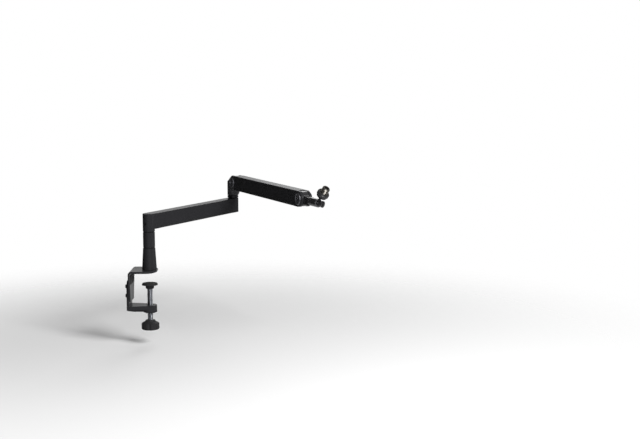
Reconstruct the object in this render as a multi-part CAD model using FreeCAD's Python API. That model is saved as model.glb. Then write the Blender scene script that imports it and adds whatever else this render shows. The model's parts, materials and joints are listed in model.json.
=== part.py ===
"""Low-profile boom arm on an edge clamp. All sizes are in millimetres.

Frame: the origin is on the post axis, on the plate's resting face. +Z is up, +X runs from the gripped
edge inwards and +Y runs away along that edge. Each arm is built along its own +X and then turned to its
heading. The shapes are written in the pose where every joint value is zero.
"""
import os
from math import cos, pi, radians, sin, sqrt, tan

import FreeCAD
import Part

Vector = FreeCAD.Vector
ORIGIN = Vector(0, 0, 0)
X_AXIS = Vector(1, 0, 0)
Y_AXIS = Vector(0, 1, 0)
Z_AXIS = Vector(0, 0, 1)

# Pose at rest, in degrees
LOWER_HEADING = 62.1
UPPER_HEADING = -64.6
HEAD_ROLL = 16.0
STUD_ANGLE = 54.0

# Lengths between the axes
LOWER_LENGTH = 340.0
ELBOW_OFFSET = 26.0
UPPER_LENGTH = 375.0
BALL_REACH = 67.5
HEAD_DROP = 2.0

# Section of both arms
BAR_WIDTH = 25.6
BAR_HEIGHT = 33.2
BAR_WALL = 2.6
BAR_ROOF = 3.2
BAR_ROUND = 1.2
RIB_THICKNESS = 1.8
RIB_DEPTH = 4.0
RIB_BAYS = 6
END_BLOCK = 23.0

# Slotted cover of both arms
COVER_DEPTH = 4.8
COVER_FLOOR = 2.2
COVER_SEAM = 0.4
COVER_ROUND = 0.8
COVER_SLOT_WIDTH = 12.0
COVER_SLOT_LENGTH = 20.0
COVER_SLOT_INSET = 4.2
COVER_SLOT_CORNER = 2.5
RAIL_WALL = 1.5
RAIL_RISE = 6.0

# Heights
PAD_THICKNESS = 1.0
PLATE_THICKNESS = 4.0
CONE_HEIGHT = 46.6
RISER_HEIGHT = 32.7
SEAM_GAP = 1.2
ROOT_SKIRT = 5.5
ELBOW_RING_HEIGHT = 4.4
ARM_CLEARANCE = 22.2

# Post and its bearing
CONE_FOOT_RADIUS = 15.75
CONE_TOP_RADIUS = 13.1
RISER_RADIUS = 12.7
SHAFT_RADIUS = 7.0
SHAFT_GROOVE_DEPTH = 1.2
SHAFT_GROOVE_HALF = 3.0
KEEPER_HEIGHT = 17.0
KEEPER_RADIUS = 2.5
KEEPER_TIP_RADIUS = 2.1
KEEPER_SOCKET = 2.5
BUSH_WALL = 2.0

# Fits and edges
RUNNING = 0.05
LOOSE = 0.3
FACE_GAP = 0.1
EDGE = 0.5
SEAM_INSET = 1.6
PAST = 1.0

# Hinges of the elbow and the head
HINGE_SLOT = 13.4
SLOT_CLEARANCE = 0.8
WASHER_THICKNESS = 0.6
WASHER_INSET = 1.5
TONGUE_BUSH_WALL = 1.5
BOLT_RADIUS = 4.0
BOLT_HEAD_RADIUS = 6.4
BOLT_HEAD_HEIGHT = 2.4
BOLT_SOCKET = 4.0
SOCKET_DEPTH = 1.8
NUT_PIN_RADIUS = 0.9
NUT_PIN_OFFSET = 4.6
CAP_THICKNESS = 1.2
CAP_RECESS = 1.3
CAP_BEVEL = 0.7
CAP_HOLE_RADIUS = 3.4
CAP_INSET = 3.5
EAR_BEVEL = 2.0
EAR_BEVEL_END = -80.0

# Elbow
EAR_RADIUS = 16.5
YOKE_BACK_SLOPE = 30.0
YOKE_FOOT_STEP = 0.4
YOKE_FLARE = 8.0
SHOULDER_RADIUS = 20.0
TONGUE_RADIUS = 15.5
TONGUE_RISE = 12.0
ELBOW_PIN_RADIUS = 6.0
ELBOW_PIN_SEAT = 11.0
ELBOW_NUT_FLATS = 16.0
ELBOW_NUT_HEIGHT = 4.4
SPRING_HEIGHT = 0.8
SPRING_RADIUS = 9.0
NUT_POCKET_RADIUS = 10.0
NUT_POCKET_DEPTH = 8.0
ELBOW_PLUG_THICKNESS = 1.2

# Castings in the ends of the upper arm
PLUG_LENGTH = 26.0
PLUG_WALL = 3.0
PLUG_ROOF = 4.0
PLUG_GAP = 0.6
PLUG_LAP = 2.0
PLUG_PIN_RADIUS = 1.5
PLUG_PIN_INSET = 6.0
PLUG_PIN_RISE = 5.0
FORK_SEAM_RADIUS = 27.0
SEAM_BEVEL = 1.0
FORK_TONGUE_RADIUS = 15.8
FORK_CAP_RADIUS = 13.0

# Clamp plate
CLAMP_WIDTH = 70.0
PLATE_NOSE = 16.8
PLATE_CORNER = 26.0
PLATE_BREAK = 0.8
THROAT_DEPTH = 38.0
BEND_RADIUS = 3.0
WALL_DROP = 62.0
WALL_TAPER_DROP = 14.0
WALL_FOOT_WIDTH = 46.0
TOP_PAD_MARGIN = 3.0
BACK_PAD_THICKNESS = 1.5
BACK_PAD_MARGIN = 11.0
BACK_PAD_TOP = 5.0
BACK_PAD_HEIGHT = 19.0
BASE_SCREW_RADIUS = 2.5
BASE_SCREW_HEAD_RADIUS = 4.6
BASE_SCREW_HEAD_HEIGHT = 2.1
BASE_SCREW_GRIP = 12.0
BASE_SCREW_CIRCLE = 10.6
BASE_SCREW_ANGLES = (30, 150, 270)

# Clamp jaw
JAW_DROP = 72.5
JAW_THICKNESS = 9.0
JAW_LEG = 5.0
JAW_LEG_DROP = 18.0
JAW_CORNER = 9.0
JAW_SKIN = 3.5
JAW_RIB_HALF = 2.0
JAW_FLANGE = 7.0
BOSS_HEIGHT = 15.0
BOSS_RADIUS = 15.0
JAW_BOLT_RADIUS = 3.0
JAW_BOLT_HEAD_RADIUS = 5.2
JAW_BOLT_CROWN_RADIUS = 3.6
JAW_BOLT_HEAD_HEIGHT = 3.2
JAW_BOLT_SOCKET = 4.0
JAW_BOLT_SPREAD = 26.0
JAW_BOLT_MARGIN = 12.0
THREAD_BUSH_WALL = 2.4
THREAD_BUSH_FLANGE = 2.5
THREAD_BUSH_FLANGE_HEIGHT = 1.6

# Clamp screw
GRIP_AT_REST = 25.0
SCREW_RADIUS = 6.0
SCREW_TIP_RADIUS = 4.6
SCREW_UP_TRAVEL = 15.0
SCREW_STOP_GAP = 1.4
FOOT_RADIUS = 17.0
FOOT_HUB_RADIUS = 9.0
FOOT_HEIGHT = 9.5
FOOT_FLANGE = 2.0
FOOT_SKIN = 2.5
FOOT_PAD_RADIUS = 16.2
FOOT_PAD_THICKNESS = 2.0
KNOB_RADIUS = 19.0
KNOB_HEIGHT = 20.0
KNOB_WAIST_RADIUS = 10.0
KNOB_SHOULDER = 6.0
KNOB_EDGE = 1.5
KNOB_LOBES = 8
KNOB_SCALLOP = 4.5
KNOB_SCALLOP_OFFSET = 2.6
KNOB_FLOOR = 5.0
KNOB_CAP_RADIUS = 12.0
KNOB_CAP_DEPTH = 2.0

# Head
BALL_RADIUS = 6.0
HOUSING_RADIUS = 8.6
HOUSING_TAIL = 23.0
HOUSING_NOSE = 7.8
HOUSING_WALL = 1.9
HOUSING_FLOOR = 6.5
COLLAR_LENGTH = 6.0
SWELL_LENGTH = 9.0
NECK_HALF_AT_EYE = 9.0
NECK_HALF_AT_COLLAR = 7.6
KNUCKLE_POCKET_HALF = 5.0
KNUCKLE_POCKET_DEPTH = 1.5
KNUCKLE_POCKET_SHARE = 0.37
ROLL_PIN_RADIUS = 4.0
ROLL_PIN_HEAD_RADIUS = 6.0
ROLL_PIN_HEAD = 3.0
ROLL_PIN_GRIP = 12.0
BEZEL_LIP = 2.8
BEZEL_TAPER = 1.1
MOUTH_RADIUS = 4.9
FLARE_RADIUS = 7.0
FLARE_START = 3.6
STUD_SLOT_GAP = 0.5
LOCK_PAD_RADIUS = 4.6
LOCK_PAD_RISE = 1.0
LOCK_SCREW_RADIUS = 2.0
LOCK_SCREW_SOCKET = 2.0
LOCK_KNOB_RADIUS = 7.0
LOCK_KNOB_LENGTH = 4.6
LOCK_KNOB_FLUTES = 12
LOCK_KNOB_FLUTE_RADIUS = 1.1

# Ball stud
NECK_RADIUS = 2.6
NECK_FLARE = 2.4
NECK_FLARE_LENGTH = 3.0
FLANGE_RADIUS = 10.8
FLANGE_START = 18.0
FLANGE_THICKNESS = 3.5
CORE_RADIUS = 4.76
CORE_INSET = 4.0
THREAD_RADIUS = 7.94
THREAD_LENGTH = 12.0
THREAD_RELIEF = 1.0
THREAD_DEPTH = 0.9
DRIVER_SLOT_WIDTH = 1.8
DRIVER_SLOT_DEPTH = 1.6
LOCK_RING_RADIUS = 12.8
LOCK_RING_HEIGHT = 6.5
LOCK_RING_GAP = 0.5
LOCK_RING_EDGE = 0.9
LOCK_RING_NOTCHES = 24
LOCK_RING_NOTCH_RADIUS = 0.9
RING_PAD_THICKNESS = 1.0
RING_PAD_INSET = 1.2

# Heights worked out from the stack
plate_top = PAD_THICKNESS + PLATE_THICKNESS
cone_top = plate_top + CONE_HEIGHT
riser_bottom = cone_top + SEAM_GAP
riser_top = riser_bottom + RISER_HEIGHT
root_bottom = riser_top + SEAM_GAP + FACE_GAP
lower_bottom = root_bottom + ROOT_SKIRT
lower_top = lower_bottom + BAR_HEIGHT
ring_bottom = lower_top + SEAM_GAP
ring_top = ring_bottom + ELBOW_RING_HEIGHT
yoke_bottom = ring_top + SEAM_GAP + FACE_GAP
upper_bottom = lower_top + ARM_CLEARANCE
upper_top = upper_bottom + BAR_HEIGHT
hinge_height = upper_bottom + BAR_HEIGHT / 2
head_height = hinge_height - HEAD_DROP

# Widths and distances that several pieces share
half_width = BAR_WIDTH / 2
inner_half = half_width - BAR_WALL
slot_half = HINGE_SLOT / 2
tongue_half = slot_half - FACE_GAP - WASHER_THICKNESS
tongue_bore = BOLT_RADIUS + TONGUE_BUSH_WALL
fork_hinge = ELBOW_OFFSET + UPPER_LENGTH
ball_at = fork_hinge + BALL_REACH

pieces = {}


# Small shape makers

def cylinder(radius, start, end, x=0.0, y=0.0):
    """An upright cylinder between two heights."""
    return Part.makeCylinder(radius, end - start, Vector(x, y, start))


def cross_cylinder(radius, start, end, x, z):
    """A cylinder along Y between two distances."""
    return Part.makeCylinder(radius, end - start, Vector(x, start, z), Y_AXIS)


def long_cylinder(radius, start, end, z, y=0.0):
    """A cylinder along X between two distances."""
    return Part.makeCylinder(radius, end - start, Vector(start, y, z), X_AXIS)


def long_cone(start_radius, end_radius, start, end, z):
    """A cone along X between two distances."""
    return Part.makeCone(start_radius, end_radius, end - start, Vector(start, 0, z), X_AXIS)


def block(x0, x1, y0, y1, z0, z1):
    return Part.makeBox(x1 - x0, y1 - y0, z1 - z0, Vector(x0, y0, z0))


def tube(outer, inner, start, end, x=0.0, y=0.0):
    return cylinder(outer, start, end, x, y).cut(cylinder(inner, start - PAST, end + PAST, x, y))


def filled(points):
    """A flat face over a closed polygon."""
    return Part.Face(Part.makePolygon(points + points[:1]))


def turned(profile):
    """A solid of revolution about Z from (radius, height) corners."""
    return filled([Vector(r, 0, z) for r, z in profile]).revolve(ORIGIN, Z_AXIS, 360)


def prism(corners, start, end):
    """An upright prism over (x, y) corners."""
    return filled([Vector(x, y, start) for x, y in corners]).extrude(Vector(0, 0, end - start))


def wall_prism(corners, start, end):
    """A prism along X over (y, z) corners."""
    return filled([Vector(start, y, z) for y, z in corners]).extrude(Vector(end - start, 0, 0))


def side_prism(outline, half):
    """A prism spread evenly to both sides along Y. The outline is a list of (x, z) corners, and an entry of
    two corners is an arc through the first one to the second."""
    edges = []
    here = outline[0]
    for step in outline[1:] + outline[:1]:
        if isinstance(step[0], tuple):
            middle, end = step
            points = [Vector(x, -half, z) for x, z in (here, middle, end)]
            edges.append(Part.Arc(*points).toShape())
        else:
            end = step
            edges.append(Part.makeLine(Vector(here[0], -half, here[1]), Vector(end[0], -half, end[1])))
        here = end
    return Part.Face(Part.Wire(edges)).extrude(Vector(0, 2 * half, 0))


def stadium(radius, x0, x1, start, end):
    """An upright bar with round ends centred at x0 and x1."""
    bar = block(x0, x1, -radius, radius, start, end)
    return joined([bar, cylinder(radius, start, end, x0), cylinder(radius, start, end, x1)])


def hexagon(across_flats, start, end):
    reach = across_flats / sqrt(3)
    return prism([(reach * cos(k * pi / 3), reach * sin(k * pi / 3)) for k in range(6)], start, end)


def ring_of(count, radius, reach, start, end):
    """Upright cylinders spread evenly on a circle."""
    angles = [2 * pi * k / count for k in range(count)]
    return [cylinder(radius, start, end, reach * cos(a), reach * sin(a)) for a in angles]


def joined(shapes):
    return shapes[0].fuse(shapes[1:]).removeSplitter()


def on_arc(x, z, radius, angle):
    """A point on an arc, with the angle in degrees from +X towards +Z."""
    return (x + radius * cos(radians(angle)), z + radius * sin(radians(angle)))


def edges_at_height(shape, z):
    return [e for e in shape.Edges if abs(e.BoundBox.ZMin - z) < 1e-4 and abs(e.BoundBox.ZMax - z) < 1e-4]


def on_lower_arm(shape):
    """From the lower arm's own frame to the object's frame."""
    moved = shape.copy()
    moved.rotate(ORIGIN, Z_AXIS, LOWER_HEADING)
    return moved


def on_upper_arm(shape):
    """From the upper arm's own frame, which starts on the elbow axis, to the object's frame."""
    moved = shape.copy()
    moved.rotate(ORIGIN, Z_AXIS, UPPER_HEADING)
    elbow_x = LOWER_LENGTH * cos(radians(LOWER_HEADING))
    elbow_y = LOWER_LENGTH * sin(radians(LOWER_HEADING))
    moved.translate(Vector(elbow_x, elbow_y, 0))
    return moved


def on_head(shape):
    """From the head's own frame, unrolled, to the object's frame."""
    moved = shape.copy()
    moved.rotate(Vector(ball_at, 0, head_height), X_AXIS, -HEAD_ROLL)
    return on_upper_arm(moved)


def on_stud(shape):
    """From a frame with the ball at its origin and the stud along +Z to the object's frame."""
    moved = shape.copy()
    moved.rotate(ORIGIN, Y_AXIS, 90 - STUD_ANGLE)
    moved.translate(Vector(ball_at, 0, head_height))
    return on_head(moved)


# Clamp: a bent plate over the gripped edge, and a cast jaw bolted to its outer face

wall_inner = -THROAT_DEPTH
wall_outer = wall_inner - PLATE_THICKNESS
wall_bottom = -WALL_DROP
half_clamp = CLAMP_WIDTH / 2
half_foot = WALL_FOOT_WIDTH / 2
jaw_outer = wall_outer - JAW_LEG
jaw_top = -JAW_DROP
jaw_bottom = jaw_top - JAW_THICKNESS
jaw_leg_top = -JAW_LEG_DROP
boss_bottom = jaw_top - BOSS_HEIGHT
bush_bore = SCREW_RADIUS + RUNNING
bush_radius = bush_bore + THREAD_BUSH_WALL
bush_bottom = boss_bottom - THREAD_BUSH_FLANGE_HEIGHT
bolt_places = [(y, z) for y in (-JAW_BOLT_SPREAD / 2, JAW_BOLT_SPREAD / 2)
               for z in (jaw_leg_top - JAW_BOLT_MARGIN, wall_bottom + JAW_BOLT_MARGIN)]
base_screw_places = [(BASE_SCREW_CIRCLE * cos(radians(a)), BASE_SCREW_CIRCLE * sin(radians(a)))
                     for a in BASE_SCREW_ANGLES]


def plate_plan(back, inset, start, end):
    """The plate's plan: straight at the gripped edge, with two large corners at the nose."""
    corner = PLATE_CORNER - inset
    nose = PLATE_NOSE - inset
    side = half_clamp - inset
    plan = block(back, nose - corner, -side, side, start, end)
    middle = block(nose - corner, nose, corner - side, side - corner, start, end)
    rounds = [cylinder(corner, start, end, nose - corner, y) for y in (corner - side, side - corner)]
    return joined([plan, middle] + rounds)


def clamp_bracket():
    """One sheet, bent down at the gripped edge, tapered to the jaw's width and drilled for its screws."""
    outer_bend = BEND_RADIUS + PLATE_THICKNESS
    bend = (wall_inner + BEND_RADIUS, PAD_THICKNESS - BEND_RADIUS)
    profile = [(PLATE_NOSE, PAD_THICKNESS), (PLATE_NOSE, plate_top), (bend[0], plate_top),
               (on_arc(*bend, outer_bend, 135), (wall_outer, bend[1])),
               (wall_outer, wall_bottom), (wall_inner, wall_bottom), (wall_inner, bend[1]),
               (on_arc(*bend, BEND_RADIUS, 135), (bend[0], PAD_THICKNESS))]
    sheet = side_prism(profile, half_clamp)
    sheet = sheet.common(plate_plan(wall_outer - PAST, 0, wall_bottom - PAST, plate_top + PAST))
    rim = [e for e in edges_at_height(sheet, plate_top) if e.BoundBox.XMax > bend[0] + PAST]
    sheet = sheet.makeChamfer(PLATE_BREAK, rim)
    taper_top = -WALL_TAPER_DROP
    beyond = half_clamp + PAST
    for side in (1, -1):
        corners = [(side * half_clamp, taper_top), (side * half_foot, wall_bottom),
                   (side * half_foot, wall_bottom - PAST), (side * beyond, wall_bottom - PAST),
                   (side * beyond, taper_top)]
        sheet = sheet.cut(wall_prism(corners, wall_outer - PAST, wall_inner + PAST))
    holes = jaw_bolt_holes()
    for x, y in base_screw_places:
        holes.append(cylinder(BASE_SCREW_RADIUS, PAD_THICKNESS - PAST, plate_top + PAST, x, y))
        holes.append(countersink(x, y))
    return sheet.cut(holes)


def jaw_bolt_holes():
    """Holes through the jaw's leg and the wall."""
    start = jaw_outer - PAST
    return [long_cylinder(JAW_BOLT_RADIUS, start, wall_inner + PAST, z, y) for y, z in bolt_places]


def countersink(x, y):
    return Part.makeCone(BASE_SCREW_HEAD_RADIUS, BASE_SCREW_RADIUS, BASE_SCREW_HEAD_HEIGHT,
                         Vector(x, y, PAD_THICKNESS))


def clamp_jaw():
    """A cast L: a leg on the wall's outer face, a tapering arm with two pockets and a rib, and a boss."""
    leg = block(jaw_outer, wall_outer, -half_foot, half_foot, jaw_bottom, jaw_leg_top)
    for side in (1, -1):
        edge = side * half_foot
        corner = [(edge - side * JAW_CORNER, jaw_leg_top), (edge, jaw_leg_top - JAW_CORNER),
                  (edge, jaw_leg_top)]
        leg = leg.cut(wall_prism(corner, jaw_outer - PAST, wall_outer + PAST))
    arm = prism([(jaw_outer, -half_foot), (0, -BOSS_RADIUS), (0, BOSS_RADIUS), (jaw_outer, half_foot)],
                jaw_bottom, jaw_top)
    boss = cylinder(BOSS_RADIUS, boss_bottom, jaw_top)
    rib_end = -BOSS_RADIUS / 2
    rib_top = jaw_bottom + PAST
    rib = side_prism([(jaw_outer, boss_bottom + PAST), (jaw_outer, rib_top), (rib_end, rib_top),
                      (rib_end, boss_bottom), (jaw_outer + JAW_LEG + JAW_FLANGE, boss_bottom)], JAW_RIB_HALF)
    pocket_back = jaw_outer + JAW_LEG + JAW_RIB_HALF * 2
    pocket_front = -BOSS_RADIUS - JAW_RIB_HALF
    pocket_plan = [(pocket_back, JAW_FLANGE - half_foot), (pocket_front, JAW_RIB_HALF - BOSS_RADIUS),
                   (pocket_front, -JAW_RIB_HALF), (pocket_back, -JAW_RIB_HALF)]
    pocket = prism(pocket_plan, jaw_bottom - PAST, jaw_top - JAW_SKIN)
    bore = cylinder(bush_radius, boss_bottom - PAST, jaw_top + PAST)
    cuts = [pocket, pocket.mirror(ORIGIN, Y_AXIS), bore] + jaw_bolt_holes()
    return joined([leg, arm, boss, rib]).cut(cuts)


def jaw_bolts():
    """Button-headed bolts with a hexagon socket, from the jaw's outer face to the wall's inner face."""
    bolts = []
    for y, z in bolt_places:
        seat = Vector(jaw_outer, y, z)
        shank = Part.makeCylinder(JAW_BOLT_RADIUS, wall_inner - jaw_outer, seat, X_AXIS)
        head = Part.makeCone(JAW_BOLT_HEAD_RADIUS, JAW_BOLT_CROWN_RADIUS, JAW_BOLT_HEAD_HEIGHT, seat, -X_AXIS)
        socket = hexagon(JAW_BOLT_SOCKET, 0, SOCKET_DEPTH)
        socket.rotate(ORIGIN, Y_AXIS, 90)
        socket.translate(Vector(jaw_outer - JAW_BOLT_HEAD_HEIGHT, y, z))
        bolts.append(joined([shank, head]).cut(socket))
    return Part.makeCompound(bolts)


def thread_bush():
    flange = tube(bush_radius + THREAD_BUSH_FLANGE, bush_bore, bush_bottom, boss_bottom)
    return joined([tube(bush_radius, bush_bore, boss_bottom, jaw_top), flange])


def top_pad():
    return plate_plan(wall_inner + BEND_RADIUS + TOP_PAD_MARGIN, TOP_PAD_MARGIN, 0, PAD_THICKNESS)


def back_pad():
    side = half_clamp - BACK_PAD_MARGIN
    bottom = -BACK_PAD_TOP - BACK_PAD_HEIGHT
    return block(wall_inner, wall_inner + BACK_PAD_THICKNESS, -side, side, bottom, -BACK_PAD_TOP)


pieces["clamp_bracket"] = clamp_bracket()
pieces["clamp_jaw"] = clamp_jaw()
pieces["jaw_bolts"] = jaw_bolts()
pieces["thread_bush"] = thread_bush()
pieces["top_pad"] = top_pad()
pieces["back_pad"] = back_pad()

# Post: a tapered base, a straight riser and the steel shaft that the lower arm turns on

base_screw_top = plate_top + BASE_SCREW_GRIP
keeper_height = root_bottom + KEEPER_HEIGHT
groove_radius = SHAFT_RADIUS - SHAFT_GROOVE_DEPTH
shaft_top = keeper_height + SHAFT_GROOVE_HALF + SHAFT_RADIUS


def base_screws():
    screws = []
    for x, y in base_screw_places:
        shank = cylinder(BASE_SCREW_RADIUS, PAD_THICKNESS, base_screw_top, x, y)
        screws.append(joined([countersink(x, y), shank]))
    return Part.makeCompound(screws)


def base_post():
    """A cone with a broken edge at its foot and its top, bored for the shaft and for the screws below."""
    cone = turned([(0, plate_top), (CONE_FOOT_RADIUS - EDGE, plate_top), (CONE_FOOT_RADIUS, plate_top + EDGE),
                   (CONE_TOP_RADIUS, cone_top - EDGE), (CONE_TOP_RADIUS - EDGE, cone_top), (0, cone_top)])
    start = plate_top - PAST
    holes = [cylinder(BASE_SCREW_RADIUS, start, base_screw_top, x, y) for x, y in base_screw_places]
    return cone.cut(holes + [cylinder(SHAFT_RADIUS, start, cone_top + PAST)])


def ring_with_edges(outer, inner, start, end, edge):
    """A turned ring with its two outer edges broken."""
    return turned([(inner, start), (outer - edge, start), (outer, start + edge), (outer, end - edge),
                   (outer - edge, end), (inner, end)])


def pivot_shaft():
    """The shaft, with the groove that the arm's keeper screw runs in."""
    groove_start = keeper_height - SHAFT_GROOVE_HALF
    groove_end = keeper_height + SHAFT_GROOVE_HALF
    return turned([(0, plate_top), (SHAFT_RADIUS, plate_top), (SHAFT_RADIUS, groove_start),
                   (groove_radius, groove_start), (groove_radius, groove_end), (SHAFT_RADIUS, groove_end),
                   (SHAFT_RADIUS, shaft_top - PAST), (SHAFT_RADIUS - PAST, shaft_top), (0, shaft_top)])


pieces["base_screws"] = base_screws()
pieces["base_post"] = base_post()
pieces["riser_seat"] = tube(CONE_TOP_RADIUS - SEAM_INSET, SHAFT_RADIUS, cone_top, riser_bottom)
pieces["riser"] = ring_with_edges(RISER_RADIUS, SHAFT_RADIUS, riser_bottom, riser_top, EDGE)
pieces["swivel_washer"] = tube(RISER_RADIUS - SEAM_INSET, SHAFT_RADIUS, riser_top, riser_top + SEAM_GAP)
pieces["pivot_shaft"] = pivot_shaft()

# Clamp screw: the foot slides up and the spindle turns inside it

foot_top = -GRIP_AT_REST
foot_plate = foot_top - FOOT_PAD_THICKNESS
foot_bottom = foot_plate - FOOT_HEIGHT
socket_roof = foot_plate - FOOT_SKIN
knob_top = bush_bottom - SCREW_UP_TRAVEL - SCREW_STOP_GAP
knob_bottom = knob_top - KNOB_HEIGHT
spindle_end = knob_bottom + KNOB_FLOOR


def foot_rubber():
    return turned([(0, foot_plate), (FOOT_PAD_RADIUS, foot_plate), (FOOT_PAD_RADIUS, foot_top - EDGE),
                   (FOOT_PAD_RADIUS - EDGE, foot_top), (0, foot_top)])


def clamp_foot():
    """A flared disc on a hub, with a blind socket for the spindle's tip."""
    flare = foot_plate - FOOT_FLANGE
    hub_top = flare - FOOT_FLANGE
    disc = turned([(0, foot_plate), (FOOT_RADIUS, foot_plate), (FOOT_RADIUS, flare),
                   (FOOT_HUB_RADIUS + EDGE, hub_top), (FOOT_HUB_RADIUS, hub_top - EDGE),
                   (FOOT_HUB_RADIUS, foot_bottom + EDGE), (FOOT_HUB_RADIUS - EDGE, foot_bottom),
                   (0, foot_bottom)])
    return disc.cut(cylinder(SCREW_TIP_RADIUS + LOOSE, foot_bottom - PAST, socket_roof))


def clamp_spindle():
    """The screw, with a slimmer round tip that turns in the foot."""
    tip = socket_roof - LOOSE
    shoulder = foot_bottom - LOOSE
    return turned([(0, tip), (SCREW_TIP_RADIUS - EDGE, tip), (SCREW_TIP_RADIUS, tip - EDGE),
                   (SCREW_TIP_RADIUS, shoulder), (SCREW_RADIUS - EDGE, shoulder),
                   (SCREW_RADIUS, shoulder - EDGE), (SCREW_RADIUS, spindle_end), (0, spindle_end)])


def clamp_knob():
    """A lobed hand knob with a waist above it and a cap recess below."""
    shoulder = knob_top - KNOB_SHOULDER
    body = turned([(0, knob_top), (KNOB_WAIST_RADIUS, knob_top),
                   (KNOB_WAIST_RADIUS + KNOB_EDGE, knob_top - KNOB_SHOULDER / 2),
                   (KNOB_RADIUS - KNOB_EDGE, shoulder), (KNOB_RADIUS, shoulder - KNOB_EDGE),
                   (KNOB_RADIUS, knob_bottom + KNOB_EDGE), (KNOB_RADIUS - KNOB_EDGE, knob_bottom),
                   (0, knob_bottom)])
    scallop_reach = KNOB_RADIUS + KNOB_SCALLOP_OFFSET
    scallops = ring_of(KNOB_LOBES, KNOB_SCALLOP, scallop_reach, knob_bottom - PAST, knob_top - PAST)
    bore = cylinder(SCREW_RADIUS, spindle_end, knob_top + PAST)
    recess = cylinder(KNOB_CAP_RADIUS, knob_bottom - PAST, knob_bottom + KNOB_CAP_DEPTH)
    return body.cut(scallops + [bore, recess])


def knob_cap():
    back = knob_bottom + KNOB_CAP_DEPTH
    return turned([(0, back), (KNOB_CAP_RADIUS, back), (KNOB_CAP_RADIUS, knob_bottom + LOOSE + EDGE),
                   (KNOB_CAP_RADIUS - EDGE, knob_bottom + LOOSE), (0, knob_bottom + LOOSE)])


pieces["foot_rubber"] = foot_rubber()
pieces["clamp_foot"] = clamp_foot()
pieces["clamp_spindle"] = clamp_spindle()
pieces["clamp_knob"] = clamp_knob()
pieces["knob_cap"] = knob_cap()

# Lower arm: a round-ended channel with a skirt round the post and a full-width cover below

channel_start = END_BLOCK
channel_end = LOWER_LENGTH - END_BLOCK
lower_roof = lower_top - BAR_ROOF
bush_outer = SHAFT_RADIUS + RUNNING + BUSH_WALL
elbow_bush_bore = ELBOW_PIN_RADIUS + RUNNING
elbow_bush_outer = elbow_bush_bore + BUSH_WALL
nut_pocket_top = lower_bottom + NUT_POCKET_DEPTH


def roof_ribs(start, end, roof):
    """Low ribs across a channel's roof, evenly spaced."""
    places = [start + (end - start) * k / RIB_BAYS for k in range(1, RIB_BAYS)]
    half = RIB_THICKNESS / 2
    return [block(x - half, x + half, -inner_half, inner_half, roof - RIB_DEPTH, roof) for x in places]


def keeper_hole():
    return long_cylinder(KEEPER_RADIUS, -half_width - PAST, 0, keeper_height)


def lower_beam():
    bar = stadium(half_width, 0, LOWER_LENGTH, lower_bottom, lower_top)
    bar = bar.makeFillet(BAR_ROUND, edges_at_height(bar, lower_top))
    root = turned([(0, root_bottom), (half_width - EDGE, root_bottom), (half_width, root_bottom + EDGE),
                   (half_width, lower_bottom + PAST), (0, lower_bottom + PAST)])
    channel = block(channel_start, channel_end, -inner_half, inner_half, lower_bottom - PAST, lower_roof)
    cover_step = block(channel_start, channel_end, -half_width - PAST, half_width + PAST, lower_bottom - PAST,
                       lower_bottom + COVER_DEPTH)
    bores = [cylinder(bush_outer, root_bottom - PAST, shaft_top + PAST),
             cylinder(elbow_bush_outer, lower_bottom - PAST, lower_top + PAST, LOWER_LENGTH),
             cylinder(NUT_POCKET_RADIUS, lower_bottom - PAST, nut_pocket_top, LOWER_LENGTH),
             keeper_hole()]
    body = joined([bar, root]).cut([channel, cover_step] + bores)
    return joined([body] + roof_ribs(channel_start, channel_end, lower_roof))


def arm_cover(start, end, bottom, slot_centres):
    """A full-width tray under an arm, with a slot near each end and two snap rails between them."""
    tray_top = bottom + COVER_DEPTH - COVER_SEAM
    tray = block(start, end, -half_width, half_width, bottom, tray_top)
    long_edges = [e for e in edges_at_height(tray, bottom) if e.BoundBox.XLength > BAR_WIDTH]
    tray = tray.makeFillet(COVER_ROUND, long_edges)
    hollow = block(start - PAST, end + PAST, -inner_half, inner_half, bottom + COVER_FLOOR, tray_top + PAST)
    tray = tray.cut(hollow)
    slot_side = COVER_SLOT_WIDTH / 2
    slot_reach = COVER_SLOT_LENGTH / 2
    for x in slot_centres:
        slot = block(x - slot_reach, x + slot_reach, -slot_side, slot_side, bottom - PAST, tray_top + PAST)
        slot = slot.makeFillet(COVER_SLOT_CORNER, [e for e in slot.Edges if e.BoundBox.ZLength > COVER_FLOOR])
        tray = tray.cut(slot)
    rail_start = slot_centres[0] + slot_reach
    rail_end = slot_centres[1] - slot_reach
    rails = []
    for side in (1, -1):
        y0, y1 = sorted((side * (inner_half - RAIL_WALL), side * inner_half))
        rails.append(block(rail_start, rail_end, y0, y1, bottom + COVER_FLOOR, tray_top + RAIL_RISE))
    return joined([tray] + rails)


def lower_cover():
    start = channel_start + FACE_GAP
    end = channel_end - FACE_GAP
    inset = COVER_SLOT_LENGTH / 2 + COVER_SLOT_INSET
    return arm_cover(start, end, lower_bottom, (start + inset, end - inset))


def root_bush():
    return tube(bush_outer, SHAFT_RADIUS + RUNNING, root_bottom, shaft_top).cut(keeper_hole())


def root_screw():
    """The keeper: a socket screw in the root whose slim tip runs in the shaft's groove."""
    screw = long_cylinder(KEEPER_RADIUS, -half_width, -bush_outer, keeper_height)
    tip = long_cylinder(KEEPER_TIP_RADIUS, -bush_outer, -groove_radius - LOOSE, keeper_height)
    socket = hexagon(KEEPER_SOCKET, 0, SOCKET_DEPTH)
    socket.rotate(ORIGIN, Y_AXIS, 90)
    socket.translate(Vector(-half_width, 0, keeper_height))
    trim = cylinder(half_width - LOOSE, keeper_height - SHAFT_RADIUS, keeper_height + SHAFT_RADIUS)
    return screw.fuse(tip).cut(socket).common(trim)


def elbow_bush():
    return tube(elbow_bush_outer, elbow_bush_bore, nut_pocket_top, lower_top, LOWER_LENGTH)


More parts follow.
